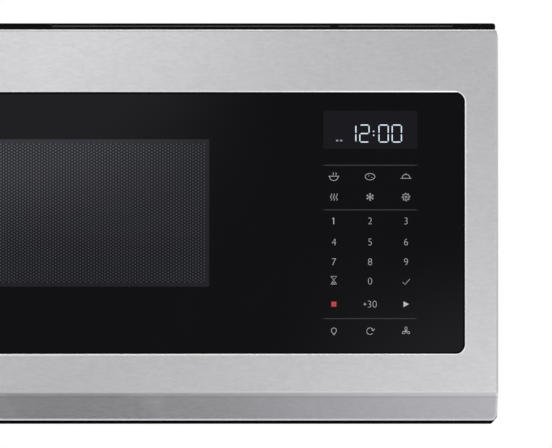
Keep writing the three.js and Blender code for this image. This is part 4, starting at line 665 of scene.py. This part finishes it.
def roundedLoop(size, inset, steps=12):
    # (x, z) points of a rounded rectangle, middle at x = 0
    right, low, high = size["half"] - inset, size["low"] + inset, size["high"] - inset
    radius = size["radius"] - inset
    points = []
    for x, z, start in ((right - radius, low + radius, -90), (right - radius, high - radius, 0),
                        (radius - right, high - radius, 90), (radius - right, low + radius, 180)):
        for step in range(steps + 1):
            across, up = polar(radius, start + 90 * step / steps)
            points.append((x + across, z + up))
    return points


def loftRounded(size, rings):
    # closed solid through rounded rectangles of given (y, inset)
    bm = bmesh.new()
    skin(bm, [addLoop(bm, [(x, y, z) for x, z in roundedLoop(size, inset)]) for y, inset in rings], caps=True)
    return bm


# steel door front
steelDoor = {
    "half": 379.4, "front": -206.4, "back": -186.4, "top": 427.0, "bottom": 3.75,
    "bevelHeight": 30.3, "bevelDepth": 15.0, "sheet": 1.2, "lean": 1.2,
    "corner": 6.3, "bend": 1.6, "edge": 3.0,
    "hole": {"half": 343.1, "low": 75.55, "high": 358.55, "radius": 10.4}, "rim": 1.5, "rimDepth": 0.8,
    "sharpAngle": 30, "roughSharpAngle": 35,
}


def isAlongY(edge):
    line = edge.verts[1].co - edge.verts[0].co
    return abs(line.y) > 0.9 * line.length


def isBend(edge):
    first, second = (face.normal.y for face in edge.link_faces)
    return max(first, second) < -0.8 and abs(first - second) > 0.05


def isFrontEdge(edge):
    first, second = sorted(face.normal.y for face in edge.link_faces)
    return first < -0.8 and second > -0.5


def makeSteelDoor(size):
    front, hole = size["front"], size["hole"]
    profile = [
        (size["back"], size["top"]), (front, size["top"]), (front, size["bottom"] + size["bevelHeight"]),
        (front + size["bevelDepth"], size["bottom"]), (size["back"], size["bottom"]),
    ]
    bm = bmesh.new()
    sides = []
    for side in (-1, 1):
        widths = [size["half"] - (size["lean"] if z == size["bottom"] else 0.0) for y, z in profile]
        sides.append(addLoop(bm, [(side * width, y, z) for (y, z), width in zip(profile, widths)]))
    skin(bm, sides, caps=True)
    bmesh.ops.recalc_face_normals(bm, faces=bm.faces)
    for test, width, segments in ((isAlongY, "corner", 8), (isBend, "bend", 6), (isFrontEdge, "edge", 8)):
        edges = [edge for edge in bm.edges if len(edge.link_faces) == 2 and test(edge)]
        bmesh.ops.bevel(bm, geom=edges, offset=size[width] * mm, offset_type="OFFSET", segments=segments,
                        profile=0.5, affect="EDGES", clamp_overlap=True)
    back = [face for face in bm.faces if face.normal.y > 0.9]
    bmesh.ops.delete(bm, geom=back, context="FACES_ONLY")
    shell = addObject("steelShell", smoothed(toMesh(bm, "steelShell"), size["roughSharpAngle"]))
    thick = shell.modifiers.new("sheet", "SOLIDIFY")
    thick.thickness = size["sheet"] * mm
    thick.offset = -1
    rim, depth = size["rim"], size["rimDepth"]
    cutter = addObject("holeCutter", solidMesh(loftRounded(hole, [
        (front - 2.0, -rim), (front - 0.01, -rim), (front + depth * 0.45, -rim * 0.42),
        (front + depth, 0.0), (front + 6.0, 0.0),
    ]), "holeCutter", size["roughSharpAngle"]))
    cut = shell.modifiers.new("glassHole", "BOOLEAN")
    cut.operation = "DIFFERENCE"
    cut.solver = "EXACT"
    cut.object = cutter
    mesh = smoothed(bakeMesh(shell, "steelDoor", cutter), size["sharpAngle"])
    # the rim faces take the smoother steel, which has the painted highlight in its colour
    for face in mesh.polygons:
        x, y, z = face.center / mm
        onRim = front + 0.005 < y < front + depth and face.normal.y < -0.5
        inside = abs(x) < hole["half"] + 2 * rim and hole["low"] - 2 * rim < z < hole["high"] + 2 * rim
        face.material_index = 1 if onRim and inside else 0
    finishes = ["frontSteel", "rimSteel"]
    weightNormals(newPiece("steelDoor", mesh, finishes, "door", ["door_front_panel"]))
    print("steel front made:", len(mesh.polygons), "faces")


makeSteelDoor(steelDoor)

# black glass with its window, display and keys, and a near-black ring over its joint with the steel, as
# painted shadow of the gap
glassPane = {
    "half": 342.8, "low": 76.0, "high": 358.5, "radius": 10.0, "face": -205.6, "back": -201.6,
    "edge": ((0.0, 0.5), (0.06, 0.28), (0.22, 0.08), (0.5, 0.0)),  # depth and inset of its rounding
    "sharpAngle": 35,
}
gapShadowRing = {
    "half": 343.0, "low": 75.65, "high": 358.45, "radius": 10.3, "width": 1.8,
    "front": -205.7, "back": -205.3, "sharpAngle": 40,
}


def makeGlassPane(size):
    rings = [(size["face"] + depth, inset) for depth, inset in size["edge"]] + [(size["back"], 0.0)]
    shape = loftRounded(size, rings)
    weightNormals(newSolid("frontGlass", shape, size, "blackGlass", "door", ["door_glass"]))


def makeGlassSeal(size):
    # near-black ring over the joint: painted shadow of the gap between glass and steel
    bm = bmesh.new()
    front, back, width = size["front"], size["back"], size["width"]
    rings = [addLoop(bm, [(x, y, z) for x, z in roundedLoop(size, inset)])
             for y, inset in ((back, 0.0), (front, 0.0), (front, width), (back, width))]
    skin(bm, rings + rings[:1])
    newSolid("gapShadowRing", bm, size, "sealRubber", "door")


makeGlassPane(glassPane)
makeGlassSeal(gapShadowRing)

printDepth = glassPane["face"] - 0.05  # face of what is printed on the glass
clock = {
    "low": 304.2, "high": 323.8, "stroke": 1.22, "gap": 0.6, "width": 11.2,
    "digits": ((214.6, "1"), (228.9, "2"), (249.6, "0"), (263.9, "0")),  # left edge of each
    "colon": ((244.4, 316.3), (244.4, 312.1)), "dot": 0.7,
    "pilots": ((204.9, 306.4), (209.3, 306.4)), "pilotHalf": (1.19, 0.84),
}
segmentsOf = {"0": "abcdef", "1": "bc", "2": "abdeg"}


def faceFront(face):
    face.normal_update()
    if face.normal.y > 0:
        face.normal_flip()


def flatMesh(name, outlines):
    bm = bmesh.new()
    for points in outlines:
        faceFront(bm.faces.new(addLoop(bm, [(x, printDepth, z) for x, z in points])))
    return toMesh(bm, name)


def box(x, z, halfWidth, halfHeight):
    return [(x + i * halfWidth, z + j * halfHeight) for i, j in ((-1, -1), (1, -1), (1, 1), (-1, 1))]


def addPrint(name, outlines, finish):
    newPiece(name, flatMesh(name, outlines), [finish], "door")


def segment(x0, z0, x1, z1, stroke, gap):
    # a bar with pointed ends from one corner of the digit to the next
    length = math.hypot(x1 - x0, z1 - z0)
    ux, uz = (x1 - x0) / length, (z1 - z0) / length
    half = stroke / 2
    outline = ((gap, 0), (gap + half, half), (length - gap - half, half),
               (length - gap, 0), (length - gap - half, -half), (gap + half, -half))
    return [(x0 + ux * along - uz * side, z0 + uz * along + ux * side) for along, side in outline]


def makeClock(size):
    lit = []
    half = size["stroke"] / 2
    low, high = size["low"] + half, size["high"] - half
    middle = (low + high) / 2
    for left, digit in size["digits"]:
        x0, x1 = left + half, left + size["width"] - half
        bars = {
            "a": (x0, high, x1, high), "b": (x1, middle, x1, high), "c": (x1, low, x1, middle),
            "d": (x0, low, x1, low), "e": (x0, low, x0, middle), "f": (x0, middle, x0, high),
            "g": (x0, middle, x1, middle),
        }
        lit += [segment(*bars[bar], size["stroke"], size["gap"]) for bar in segmentsOf[digit]]
    lit += [box(*dot, size["dot"], size["dot"]) for dot in size["colon"]]
    addPrint("clockDigits", lit, "clockLight")
    addPrint("clockPilot", [box(*pilot, *size["pilotHalf"]) for pilot in size["pilots"]], "pilotLight")


makeClock(clock)

# keys
keys = {
    "columns": (201.4, 240.5, 279.4),
    "numeral": 7.2,  # height
    "numeralWeight": -0.026,  # how much a numeral's outline is thinned, as a share of its height
    "numberRows": (219.4, 196.7, 175.2),
    "zeroRow": 154.3,
    "signs": (  # height of a row, and the sign in each of its columns
        (267.3, ("bowl", "oval", "plate")), (245.3, ("waves", "flake", "gear")),
        (155.3, ("glass", None, None)), (153.3, (None, None, "tick")), (100.2, ("bulb", "turn", "fan")),
    ),
    "mark": 10.0,  # height of a sign
    "line": 0.6,  # width of a drawn line
    "lineRelief": 0.12,  # share of a line's roundness that stays
    "commandRow": 129.4,
    "thirtyShift": 2.4, "plusShift": -5.6, "plus": 1.6,  # places in the key, and half the plus
    "command": 2.7,  # half of the stop sign
    "dividers": (279.7, 231.4, 113.8), "dividerSpan": (188.0, 293.4),
    "dividerWidth": 0.9, "dividerTaper": 6.0,
}


def placeText(text, size, x, z):
    # a plain numeral, middle at (x, z), from the default font's outline
    curve = bpy.data.curves.new("numeral", "FONT")
    curve.body = text
    curve.resolution_u = 4
    curve.offset = size["numeralWeight"]
    mesh = bakeMesh(addObject("numeral", curve), "numeral")
    xs = [v.co.x for v in mesh.vertices]
    ys = [v.co.y for v in mesh.vertices]
    scale = size["numeral"] * mm / (max(ys) - min(ys))
    middleX, middleY = (min(xs) + max(xs)) / 2, (min(ys) + max(ys)) / 2
    for v in mesh.vertices:
        v.co = ((v.co.x - middleX) * scale + x * mm, printDepth * mm, (v.co.y - middleY) * scale + z * mm)
    return mesh


def drawOne(size, x, z):
    # from its lower right round by the flag
    top, foot = z + size["numeral"] / 2, z - size["numeral"] / 2
    return flatMesh("numeral", [[
        (x + 0.20, foot), (x + 0.20, top), (x - 0.40, top), (x - 1.65, top - 1.10),
        (x - 1.30, top - 1.75), (x - 0.62, top - 1.30), (x - 0.62, foot),
    ]])


def drawLines(name, strokes, finish, size):
    # each stroke is a list of (x, z) points, drawn as a line nearly flush with the glass
    curve = bpy.data.curves.new(name, "CURVE")
    curve.dimensions = "3D"
    curve.bevel_depth = size["line"] / 2 * mm
    curve.bevel_resolution = 1
    curve.use_fill_caps = True
    for points in strokes:
        spline = curve.splines.new("POLY")
        spline.points.add(len(points) - 1)
        for point, (x, z) in zip(spline.points, points):
            point.co = (x * mm, 0.0, z * mm, 1.0)
    mesh = bakeMesh(addObject(name, curve), name)
    for v in mesh.vertices:
        v.co.y = (glassPane["face"] - 0.02) * mm + v.co.y * size["lineRelief"]
    newPiece(name, mesh, [finish], "door")


def arc(x, z, radius, start, end, steps=14, squash=1.0):
    points = [polar(radius, start + (end - start) * i / steps) for i in range(steps + 1)]
    return [(x + across, z + up * squash) for across, up in points]


def drawFlake():
    lines = [[polar(-0.85, spoke), polar(0.85, spoke)] for spoke in (30, 90, 150)]
    for spoke in range(30, 390, 60):
        x, z = polar(0.55, spoke)
        for turn in (-50, 50):
            across, up = polar(0.24, spoke + turn)
            lines.append([(x, z), (x + across, z + up)])
    return lines


def drawFan():
    # a hub and three closed blades
    lines = [arc(0, 0, 0.14, 0, 360, 8)]
    for spoke in (90, 210, 330):
        ux, uz = polar(1.0, spoke)
        blade = [(0.56 + 0.36 * x, 0.23 * y) for x, y in arc(0, 0, 1.0, 0, 360, 16)]
        lines.append([(along * ux - side * uz, along * uz + side * ux) for along, side in blade])
    return lines


# plain signs of this file's own, each from -1 to 1 round the middle of its key
signStrokes = {
    "bowl": [arc(0, 0.1, 0.95, 180, 360), [(-1.15, 0.1), (1.15, 0.1)],
             arc(-0.3, 0.62, 0.25, -80, 80), arc(0.3, 0.62, 0.25, -80, 80)],
    "oval": [arc(0, 0, 1.05, 0, 360, 24, 0.66), [(-0.35, 0.1), (-0.15, 0.2)], [(0.25, -0.2), (0.45, -0.1)]],
    "plate": [arc(0, -0.35, 0.85, 0, 180), [(-1.15, -0.35), (1.15, -0.35)], [(0, 0.5), (0, 0.75)]],
    "waves": [[(shift + 0.16 * math.sin(i * math.pi / 4), -0.75 + 1.5 * i / 12) for i in range(13)]
              for shift in (-0.6, 0.0, 0.6)],
    "flake": drawFlake(),
    "gear": [[polar(0.58 if i // 2 % 2 else 0.85, 360 * i / 32) for i in range(33)],
             arc(0, 0, 0.22, 0, 360, 12)],
    "glass": [[(-0.6, 0.85), (0.6, 0.85), (0, 0), (-0.6, 0.85)],
              [(-0.6, -0.85), (0.6, -0.85), (0, 0), (-0.6, -0.85)], [(-0.3, -0.6), (0.3, -0.6)]],
    "tick": [[(-0.7, 0), (-0.2, -0.55), (0.8, 0.65)]],
    "bulb": [arc(0, 0.15, 0.55, -50, 230, 18), [(-0.28, -0.5), (0.28, -0.5)], [(-0.2, -0.75), (0.2, -0.75)],
             [(-0.35, -0.28), (-0.28, -0.5)], [(0.35, -0.28), (0.28, -0.5)]],
    "turn": [arc(0, 0, 0.72, 10, 320, 24), [(0.30, 0.32), (0.74, 0.06), (0.98, 0.52)]],
    "fan": drawFan(),
}


def makeNumerals(size):
    middle = size["columns"][1]
    meshes = [drawOne(size, size["columns"][0], size["numberRows"][0])]
    for numeral in range(2, 10):
        row, column = divmod(numeral - 1, 3)
        meshes.append(placeText(str(numeral), size, size["columns"][column], size["numberRows"][row]))
    meshes.append(placeText("0", size, middle, size["zeroRow"]))
    meshes.append(placeText("30", size, middle + size["thirtyShift"], size["commandRow"]))
    bm = bmesh.new()
    for mesh in meshes:
        bm.from_mesh(mesh)
        bpy.data.meshes.remove(mesh)
    for face in bm.faces:
        faceFront(face)
    newPiece("keyNumerals", toMesh(bm, "keyNumerals"), ["legendInk"], "door")


def makeSigns(size):
    half = size["mark"] / 2
    lines = []
    for z, row in size["signs"]:
        for x, kind in zip(size["columns"], row):
            lines += [[(x + half * across, z + half * up) for across, up in points]
                      for points in signStrokes.get(kind, ())]
    x, z, reach = size["columns"][1] + size["plusShift"], size["commandRow"], size["plus"]
    lines += [[(x - reach, z), (x + reach, z)], [(x, z - reach), (x, z + reach)]]
    drawLines("keySigns", lines, "legendInk", size)


def makeCommands(size):
    z, half = size["commandRow"], size["command"]
    addPrint("stopSign", [box(size["columns"][0], z, half, half)], "stopInk")
    x = size["columns"][2]
    arrow = [(x - half, z - 1.15 * half), (x + 1.2 * half, z), (x - half, z + 1.15 * half)]
    addPrint("startSign", [arrow], "legendInk")


def makeDividers(size):
    left, right = size["dividerSpan"]
    half, taper = size["dividerWidth"] / 2, size["dividerTaper"]
    lines = [[(left, z), (left + taper, z - half), (right - taper, z - half),
              (right, z), (right - taper, z + half), (left + taper, z + half)] for z in size["dividers"]]
    addPrint("keyDividers", lines, "lineInk")


makeNumerals(keys)
makeSigns(keys)
makeCommands(keys)
makeDividers(keys)
print("glass, clock and keys made")

# glass tray
tray = {
    "centre": (-90.0, 14.4), "low": 86.6, "steps": 128, "sharpAngle": 50,
    "section": (  # radius and height above the tray's lowest point
        (0, 0), (134, 0), (144, 0.8), (152, 3.2), (156, 7.0), (158, 11.4), (157.6, 12.6), (156.5, 13.0),
        (155.4, 12.6), (154, 9.0), (150, 8.0), (143, 5.8), (134, 5.0), (60, 5.0), (57, 5.5), (54, 5.0),
        (0, 5.0),
    ),
    "lugs": 3, "lugReach": 21, "lugSize": (8, 7, 6), "lugHeight": -2.5, "lugRounding": 0.8,
}


def makeTray(size):
    bm = bmesh.new()
    cx, cy = size["centre"]
    loops = []
    for radius, rise in size["section"]:
        around = circle(radius, size["steps"]) if radius else [(0.0, 0.0)]
        loops.append(addLoop(bm, [(cx + x, cy + y, size["low"] + rise) for x, y in around]))
    skin(bm, loops)
    for i in range(size["lugs"]):  # what the coupler drives
        angle = math.pi * (2 * i + 1) / size["lugs"]
        lug = bmesh.ops.create_cube(bm, size=mm)["verts"]
        turned = Matrix.Translation((cx * mm, cy * mm, 0)) @ Matrix.Rotation(angle, 4, "Z")
        shift = Matrix.Translation((size["lugReach"] * mm, 0, (size["low"] + size["lugHeight"]) * mm))
        bmesh.ops.transform(bm, matrix=turned @ shift @ Matrix.Diagonal((*size["lugSize"], 1)), verts=lug)
        edges = list({edge for v in lug for edge in v.link_edges})
        bmesh.ops.bevel(bm, geom=edges, offset=size["lugRounding"] * mm, segments=3, profile=0.5,
                        affect="EDGES")
    newSolid("trayGlass", bm, size, "clearGlass", "turntable", ["glass_tray"])


makeTray(tray)
print("tray made")

# latch spring; "lift" is how far the hooks lift
latchCoil = {"wire": 0.5, "turns": 4.5, "stepsPerTurn": 20, "sides": 8, "lift": 4.0, "sharpAngle": 60}


def makeLatchCoil(size):
    low, high = (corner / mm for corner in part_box("latch_spring"))
    middle = Vector(((low[0] + high[0]) / 2, (low[1] + high[1]) / 2, 0))
    wire, perTurn = size["wire"], size["stepsPerTurn"]
    radius = (high[0] - low[0]) / 2 - wire
    bottom, top = low[2] + wire, high[2] - wire
    steps = int(size["turns"] * perTurn)
    flat = perTurn / 2  # the last half turn at each end lies flat
    centres = []
    for i in range(steps + 1):
        share = min(max((i - flat) / (steps - 2 * flat), 0.0), 1.0)
        centres.append(middle + Vector((*polar(radius, 360 * i / perTurn), bottom + (top - bottom) * share)))
    bm = bmesh.new()
    loops = []
    for i, centre in enumerate(centres):
        along = (centres[min(i + 1, steps)] - centres[max(i - 1, 0)]).normalized()
        outward = Vector((centre.x - middle.x, centre.y - middle.y, 0)).normalized()
        across = along.cross(outward).normalized()
        loops.append(addLoop(bm, [centre + outward * x + across * y for x, y in circle(wire, size["sides"])]))
    skin(bm, loops, caps=True)
    coil = newSolid("latchCoil", bm, size, "springSteel", "door", ["latch_spring"])
    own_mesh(coil)


makeLatchCoil(latchCoil)
print("latch coil made")

# expanded mesh in front of the filter pads
filterMesh = {"edge": 9.0, "pitch": 6.5, "angle": 32.0, "wire": 0.55, "depth": 0.4, "inside": 0.75,
              "layerStep": 0.6, "shortest": 2.0, "sharpAngle": 30}


def clipLine(x, y, ux, uy, left, right, low, high):
    # part of an endless line that lies inside a rectangle
    nearX, farX = sorted(((left - x) / ux, (right - x) / ux))
    nearY, farY = sorted(((low - y) / uy, (high - y) / uy))
    return max(nearX, nearY), min(farX, farY)


def makeFilterMesh(side, size):
    low, high = (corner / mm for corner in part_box(f"grease_filter_{side}"))
    left, right = low[0] + size["edge"], high[0] - size["edge"]
    front, rear = low[1] + size["edge"], high[1] - size["edge"]
    count = int(math.hypot(right - left, rear - front) / 2 / size["pitch"]) + 1
    half, depth = size["wire"] / 2, size["depth"]
    bm = bmesh.new()
    for layer, turn in enumerate((size["angle"], -size["angle"])):
        ux, uy = polar(1.0, turn)
        level = low[2] + size["inside"] + layer * depth * size["layerStep"]
        for step in range(-count, count + 1):
            x = (left + right) / 2 - uy * step * size["pitch"]
            y = (front + rear) / 2 + ux * step * size["pitch"]
            start, end = clipLine(x, y, ux, uy, left, right, front, rear)
            if end - start < size["shortest"]:
                continue
            section = ((-half, 0.0), (half, 0.0), (half, depth), (-half, depth))
            skin(bm, [addLoop(bm, [(x + ux * along - uy * across, y + uy * along + ux * across, level + rise)
                                   for across, rise in section]) for along in (start, end)], caps=True)
    newSolid(f"filterMesh_{side}", bm, size, "brightAluminium", f"filter_{side}")


makeFilterMesh("left", filterMesh)
makeFilterMesh("right", filterMesh)

# bead on the top grille, and screws
bead = {"runs": ((-104.0, 198.0), (206.0, 330.0)), "y": -203.2, "z": 430.1, "radius": 0.7, "steps": 8,
        "end": 1.2, "taper": 0.35, "sharpAngle": 70}
screws = {
    "radius": 3.8, "height": 1.7, "slot": 0.75, "arm": 0.55, "deep": 0.45, "steps": 20,
    "head": ((1.0, 0.0), (1.0, 0.35), (0.93, 0.62), (0.78, 0.85), (0.5, 0.98)),
    "turn": (0.4, 1.3),  # of the first screw, and from each to the next
    "sides": [(side * 376.2, y, z) for side in (-1, 1) for y in (-120.0, 30.0, 180.0) for z in (24.0, 418.0)],
    "back": [(x, 203.6, z) for x in (-362.0, 362.0) for z in (40.0, 165.0, 290.0, 415.0)],
    "door": [(x, -160.4, z) for x in (-362.0, 362.0) for z in (80.0, 240.0, 400.0)],
    "doorHeight": 1.0, "sharpAngle": 40,
}


def makeBead(size):
    bm = bmesh.new()
    for left, right in size["runs"]:
        end, taper = size["end"], size["taper"]
        ends = ((left, taper), (left + end, 1.0), (right - end, 1.0), (right, taper))
        skin(bm, [addLoop(bm, [(x, size["y"] + y, size["z"] + z)
                               for y, z in circle(size["radius"] * share, size["steps"])])
                  for x, share in ends], caps=True)
    newSolid("grilleBead", bm, size, "grilleGrey", "root")


def addScrew(bm, where, outward, height, turn, size):
    # pan head with a cross recess, its seat on the sheet
    seat = Matrix.Translation(Vector(where)) @ outward.to_track_quat("Z", "Y").to_matrix().to_4x4()
    seat = seat @ Matrix.Rotation(turn, 4, "Z")

    def seated(points, z):
        return addLoop(bm, [seat @ Vector((x, y, z)) for x, y in points])

    head = [seated(circle(reach * size["radius"], size["steps"]), rise * height)
            for reach, rise in size["head"]]
    skin(bm, head)
    bm.faces.new(list(reversed(head[0])))
    half, arm = size["slot"] / 2, size["radius"] * size["arm"]
    cross = [(half, half), (arm, half), (arm, -half), (half, -half), (half, -arm), (-half, -arm),
             (-half, -half), (-arm, -half), (-arm, half), (-half, half), (-half, arm), (half, arm)]
    # the cap round the recess, then its walls and floor
    rim, floor = seated(cross, height), seated(cross, height * (1 - size["deep"]))
    edges = [bm.edges.get(pair) or bm.edges.new(pair) for loop in (head[-1], rim) for pair in following(loop)]
    bmesh.ops.triangle_fill(bm, edges=edges, use_beauty=True)
    skin(bm, [rim, floor])
    bmesh.ops.triangle_fill(bm, edges=[bm.edges.get(pair) for pair in following(floor)], use_beauty=True)


def makeScrews(size):
    backward = Vector((0, 1, 0))
    for name, places, outward, height, body, finish in (
        ("sideScrews", size["sides"], None, size["height"], "root", "blackPaint"),
        ("backScrews", size["back"], backward, size["height"], "root", "zincSteel"),
        ("doorScrews", size["door"], backward, size["doorHeight"], "door", "zincSteel"),
    ):
        bm = bmesh.new()
        first, step = size["turn"]
        for index, where in enumerate(places):
            direction = outward or Vector((math.copysign(1, where[0]), 0, 0))
            addScrew(bm, where, direction, height, first + step * index, size)
        newSolid(name, bm, size, finish, body)


makeBead(bead)
makeScrews(screws)
print("filter mesh, bead and screws made")

# floor, world, lamps and camera
studio = {
    "floorDrop": -1.35,
    "floorHalf": 60.0,
    "floorColour": (0.86, 0.86, 0.865),
    "floorMirror": (0.985, 0.975, 1.03),
    "ambient": 0.60,
    "frontGlow": 0.08,  # what reflections see straight in front, beside the light of the front panel
    "sideGlow": 0.62,
    "panel": {
        "place": (0.14, -1.45, 0.25), "width": 3.6, "height": 2.6, "level": 0.765,
        "cross": (0.13, 0.215), "product": (-0.002, 0.03, 0.53, 1.62),
        "reach": (0.40, 1.05), "outside": 0.85,
        "fade": (-0.5, 0.8, 1.035, 0.93), "rise": (-0.5, 0.6, 0.90, 1.09),
    },
    "lamps": (
        # place, target, width, height, watts
        ((-0.1, -1.40, 1.55), (0.0, -0.2, 0.25), 3.2, 0.75, 15.0),
        ((-0.2, -0.6, 2.3), (0.0, -0.2, 0.3), 2.2, 0.8, 12.0),
        ((-2.2, 0.4, 1.4), (0.0, 0.0, 0.2), 1.2, 1.2, 16.0),
        ((2.2, 0.6, 1.2), (0.0, 0.0, 0.2), 1.2, 1.2, 14.0),
        ((0.2, 2.2, 1.8), (0.0, 0.0, 0.2), 2.0, 1.2, 22.0),
    ),
    "cameraPlace": (0.1388, -12.2064, 0.0),
    "cameraAim": (0.1388, -0.2064, 0.2161),
    "frameWidth": 0.597,  # across the door's plane
    "sensor": 36.0, "clipEnd": 60.0,
}


def makeFloor(size):
    bm = bmesh.new()
    corners = [(x * size["floorHalf"], y * size["floorHalf"], size["floorDrop"])
               for x, y in ((-1, -1), (1, -1), (1, 1), (-1, 1))]
    bm.faces.new([bm.verts.new(corner) for corner in corners])
    floor = addObject("studioFloor", toMesh(bm, "studioFloor"))
    tree, shader, spot = startMaterial("floorPaint", {"Specular IOR Level": 0.2, "Roughness": 0.8})
    floor.data.materials.append(bpy.data.materials["floorPaint"])
    colour = size["floorColour"]
    mottled = blendColours(tree, addNoise(tree, spot, 3.0, 4.0), shade(colour, 0.98), colour)
    feed(tree, mottled, shader, "Base Color")
    # camera rays see it nearly white; reflections see it darker just in front, more so to the left
    split = splitAxes(tree, spot)
    near = ramp(tree, (split, "Y"), -2.6, -1.35, 0.40, 0.0, smooth=True)
    under = ramp(tree, (split, "Y"), -0.75, -0.05, 0.0, 1.25, smooth=True)
    rising = ramp(tree, (split, "X"), -0.08, 0.50, 0.10, 0.98, smooth=True)
    left = ramp(tree, (split, "X"), -0.45, -0.12, 0.31, 0.0)
    opened = calc(tree, "MAXIMUM", near, under)
    mirrored = calc(tree, "MAXIMUM", opened, calc(tree, "ADD", rising, left))
    path = place(tree, "LightPath")
    camera, glossy = (path, "Is Camera Ray"), (path, "Is Glossy Ray")
    tint = blendColours(tree, camera, size["floorMirror"], (1, 1, 1))
    seen = calc(tree, "MAXIMUM", mirrored, camera)
    glow = place(tree, "Emission", {"Color": tint, "Strength": seen})
    away = place(tree, "VectorMath", {0: spot}, operation="LENGTH")
    faded = ramp(tree, (away, "Value"), 1.5, 4.5, 0.72, 1.0, smooth=True)
    share = calc(tree, "MAXIMUM", calc(tree, "MULTIPLY", camera, faded), glossy)
    lit = blendShaders(tree, share, (shader, 0), (glow, 0))
    # seen from below it isn't there
    side = place(tree, "NewGeometry")
    clear = place(tree, "BsdfTransparent", {"Color": (1, 1, 1)})
    oneSided = blendShaders(tree, (side, "Backfacing"), lit, (clear, 0))
    feed(tree, oneSided, tree.nodes["Material Output"], "Surface")


def makeWorld(size):
    # white all round to the camera, and behind the object in reflections
    world = bpy.data.worlds.new("studio")
    bpy.context.scene.world = world
    world.use_nodes = True
    tree = world.node_tree
    tree.nodes.clear()
    spot = place(tree, "TexCoord")
    forward = (splitAxes(tree, (spot, "Generated")), "Y")
    outer = ramp(tree, forward, -0.74, -0.4, size["frontGlow"], size["sideGlow"], smooth=True)
    behind = calc(tree, "MAXIMUM", outer, ramp(tree, forward, -0.15, 0.15))
    path = place(tree, "LightPath")
    shiny = calc(tree, "MAXIMUM", (path, "Is Glossy Ray"), (path, "Is Transmission Ray"))
    matt = calc(tree, "SUBTRACT", 1.0, shiny)
    filled = calc(tree, "MULTIPLY_ADD", matt, size["ambient"], calc(tree, "MULTIPLY", behind, shiny))
    strength = calc(tree, "MAXIMUM", filled, (path, "Is Camera Ray"))
    background = place(tree, "Background", {"Color": (1, 1, 1), "Strength": strength})
    place(tree, "OutputWorld", {0: (background, 0)})


def addLamp(name, where, width, height, watts):
    light = bpy.data.lights.new(name, "AREA")
    light.shape = "RECTANGLE"
    light.size, light.size_y, light.energy = width, height, watts
    lamp = addObject(name, light)
    lamp.location = where
    lamp.visible_camera = False
    return lamp


def makeFrontPanel(size):
    # one large light panel in front, brighter at upper left and lower right
    width, height, outside = size["width"], size["height"], size["outside"]
    lamp = addLamp("frontPanel", size["place"], width, height, size["level"] * math.pi * width * height)
    lamp.rotation_euler = (math.radians(90), 0, 0)
    lamp.data.use_nodes = True
    tree = lamp.data.node_tree
    tree.nodes.clear()
    spot = place(tree, "NewGeometry")
    split = splitAxes(tree, (spot, "Position"))
    across = calc(tree, "SUBTRACT", size["cross"][0], (split, "X"))
    up = calc(tree, "SUBTRACT", (split, "Z"), size["cross"][1])
    glow = ramp(tree, calc(tree, "MULTIPLY", across, up), *size["product"], smooth=True)
    apart = place(tree, "CombineXYZ", {0: across, 1: up})
    radius = place(tree, "VectorMath", {0: (apart, 0)}, operation="LENGTH")
    within = ramp(tree, (radius, "Value"), *size["reach"], 1.0, 0.0, smooth=True)
    blended = calc(tree, "MULTIPLY_ADD", calc(tree, "SUBTRACT", glow, outside), within, outside)
    fade = ramp(tree, (split, "X"), *size["fade"])
    rise = ramp(tree, (split, "Z"), *size["rise"])
    level = calc(tree, "MULTIPLY", blended, calc(tree, "MULTIPLY", fade, rise))
    emission = place(tree, "Emission", {"Color": (1, 1, 1), "Strength": level})
    place(tree, "OutputLight", {0: (emission, 0)})


def aim(thing, target):
    direction = Vector(target) - thing.location
    thing.rotation_euler = direction.to_track_quat("-Z", "Y").to_euler()


def makeLamps(size):
    for index, (where, target, width, height, watts) in enumerate(size["lamps"]):
        lamp = addLamp(f"softbox{index + 1}", where, width, height, watts)
        aim(lamp, target)
        lamp.visible_glossy = index > 0  # the first would blow out the front from below


def makeCamera(size):
    lens = bpy.data.cameras.new("camera")
    distance = (Vector(size["cameraAim"]) - Vector(size["cameraPlace"])).length
    lens.sensor_width = size["sensor"]
    lens.lens = size["sensor"] * distance / size["frameWidth"]
    lens.clip_end = size["clipEnd"]
    camera = addObject("camera", lens)
    camera.location = size["cameraPlace"]
    aim(camera, size["cameraAim"])
    bpy.context.scene.camera = camera


makeFloor(studio)
makeWorld(studio)
makeFrontPanel(studio["panel"])
makeLamps(studio)
makeCamera(studio)
bpy.context.scene.view_settings.view_transform = "Standard"
print("studio set")
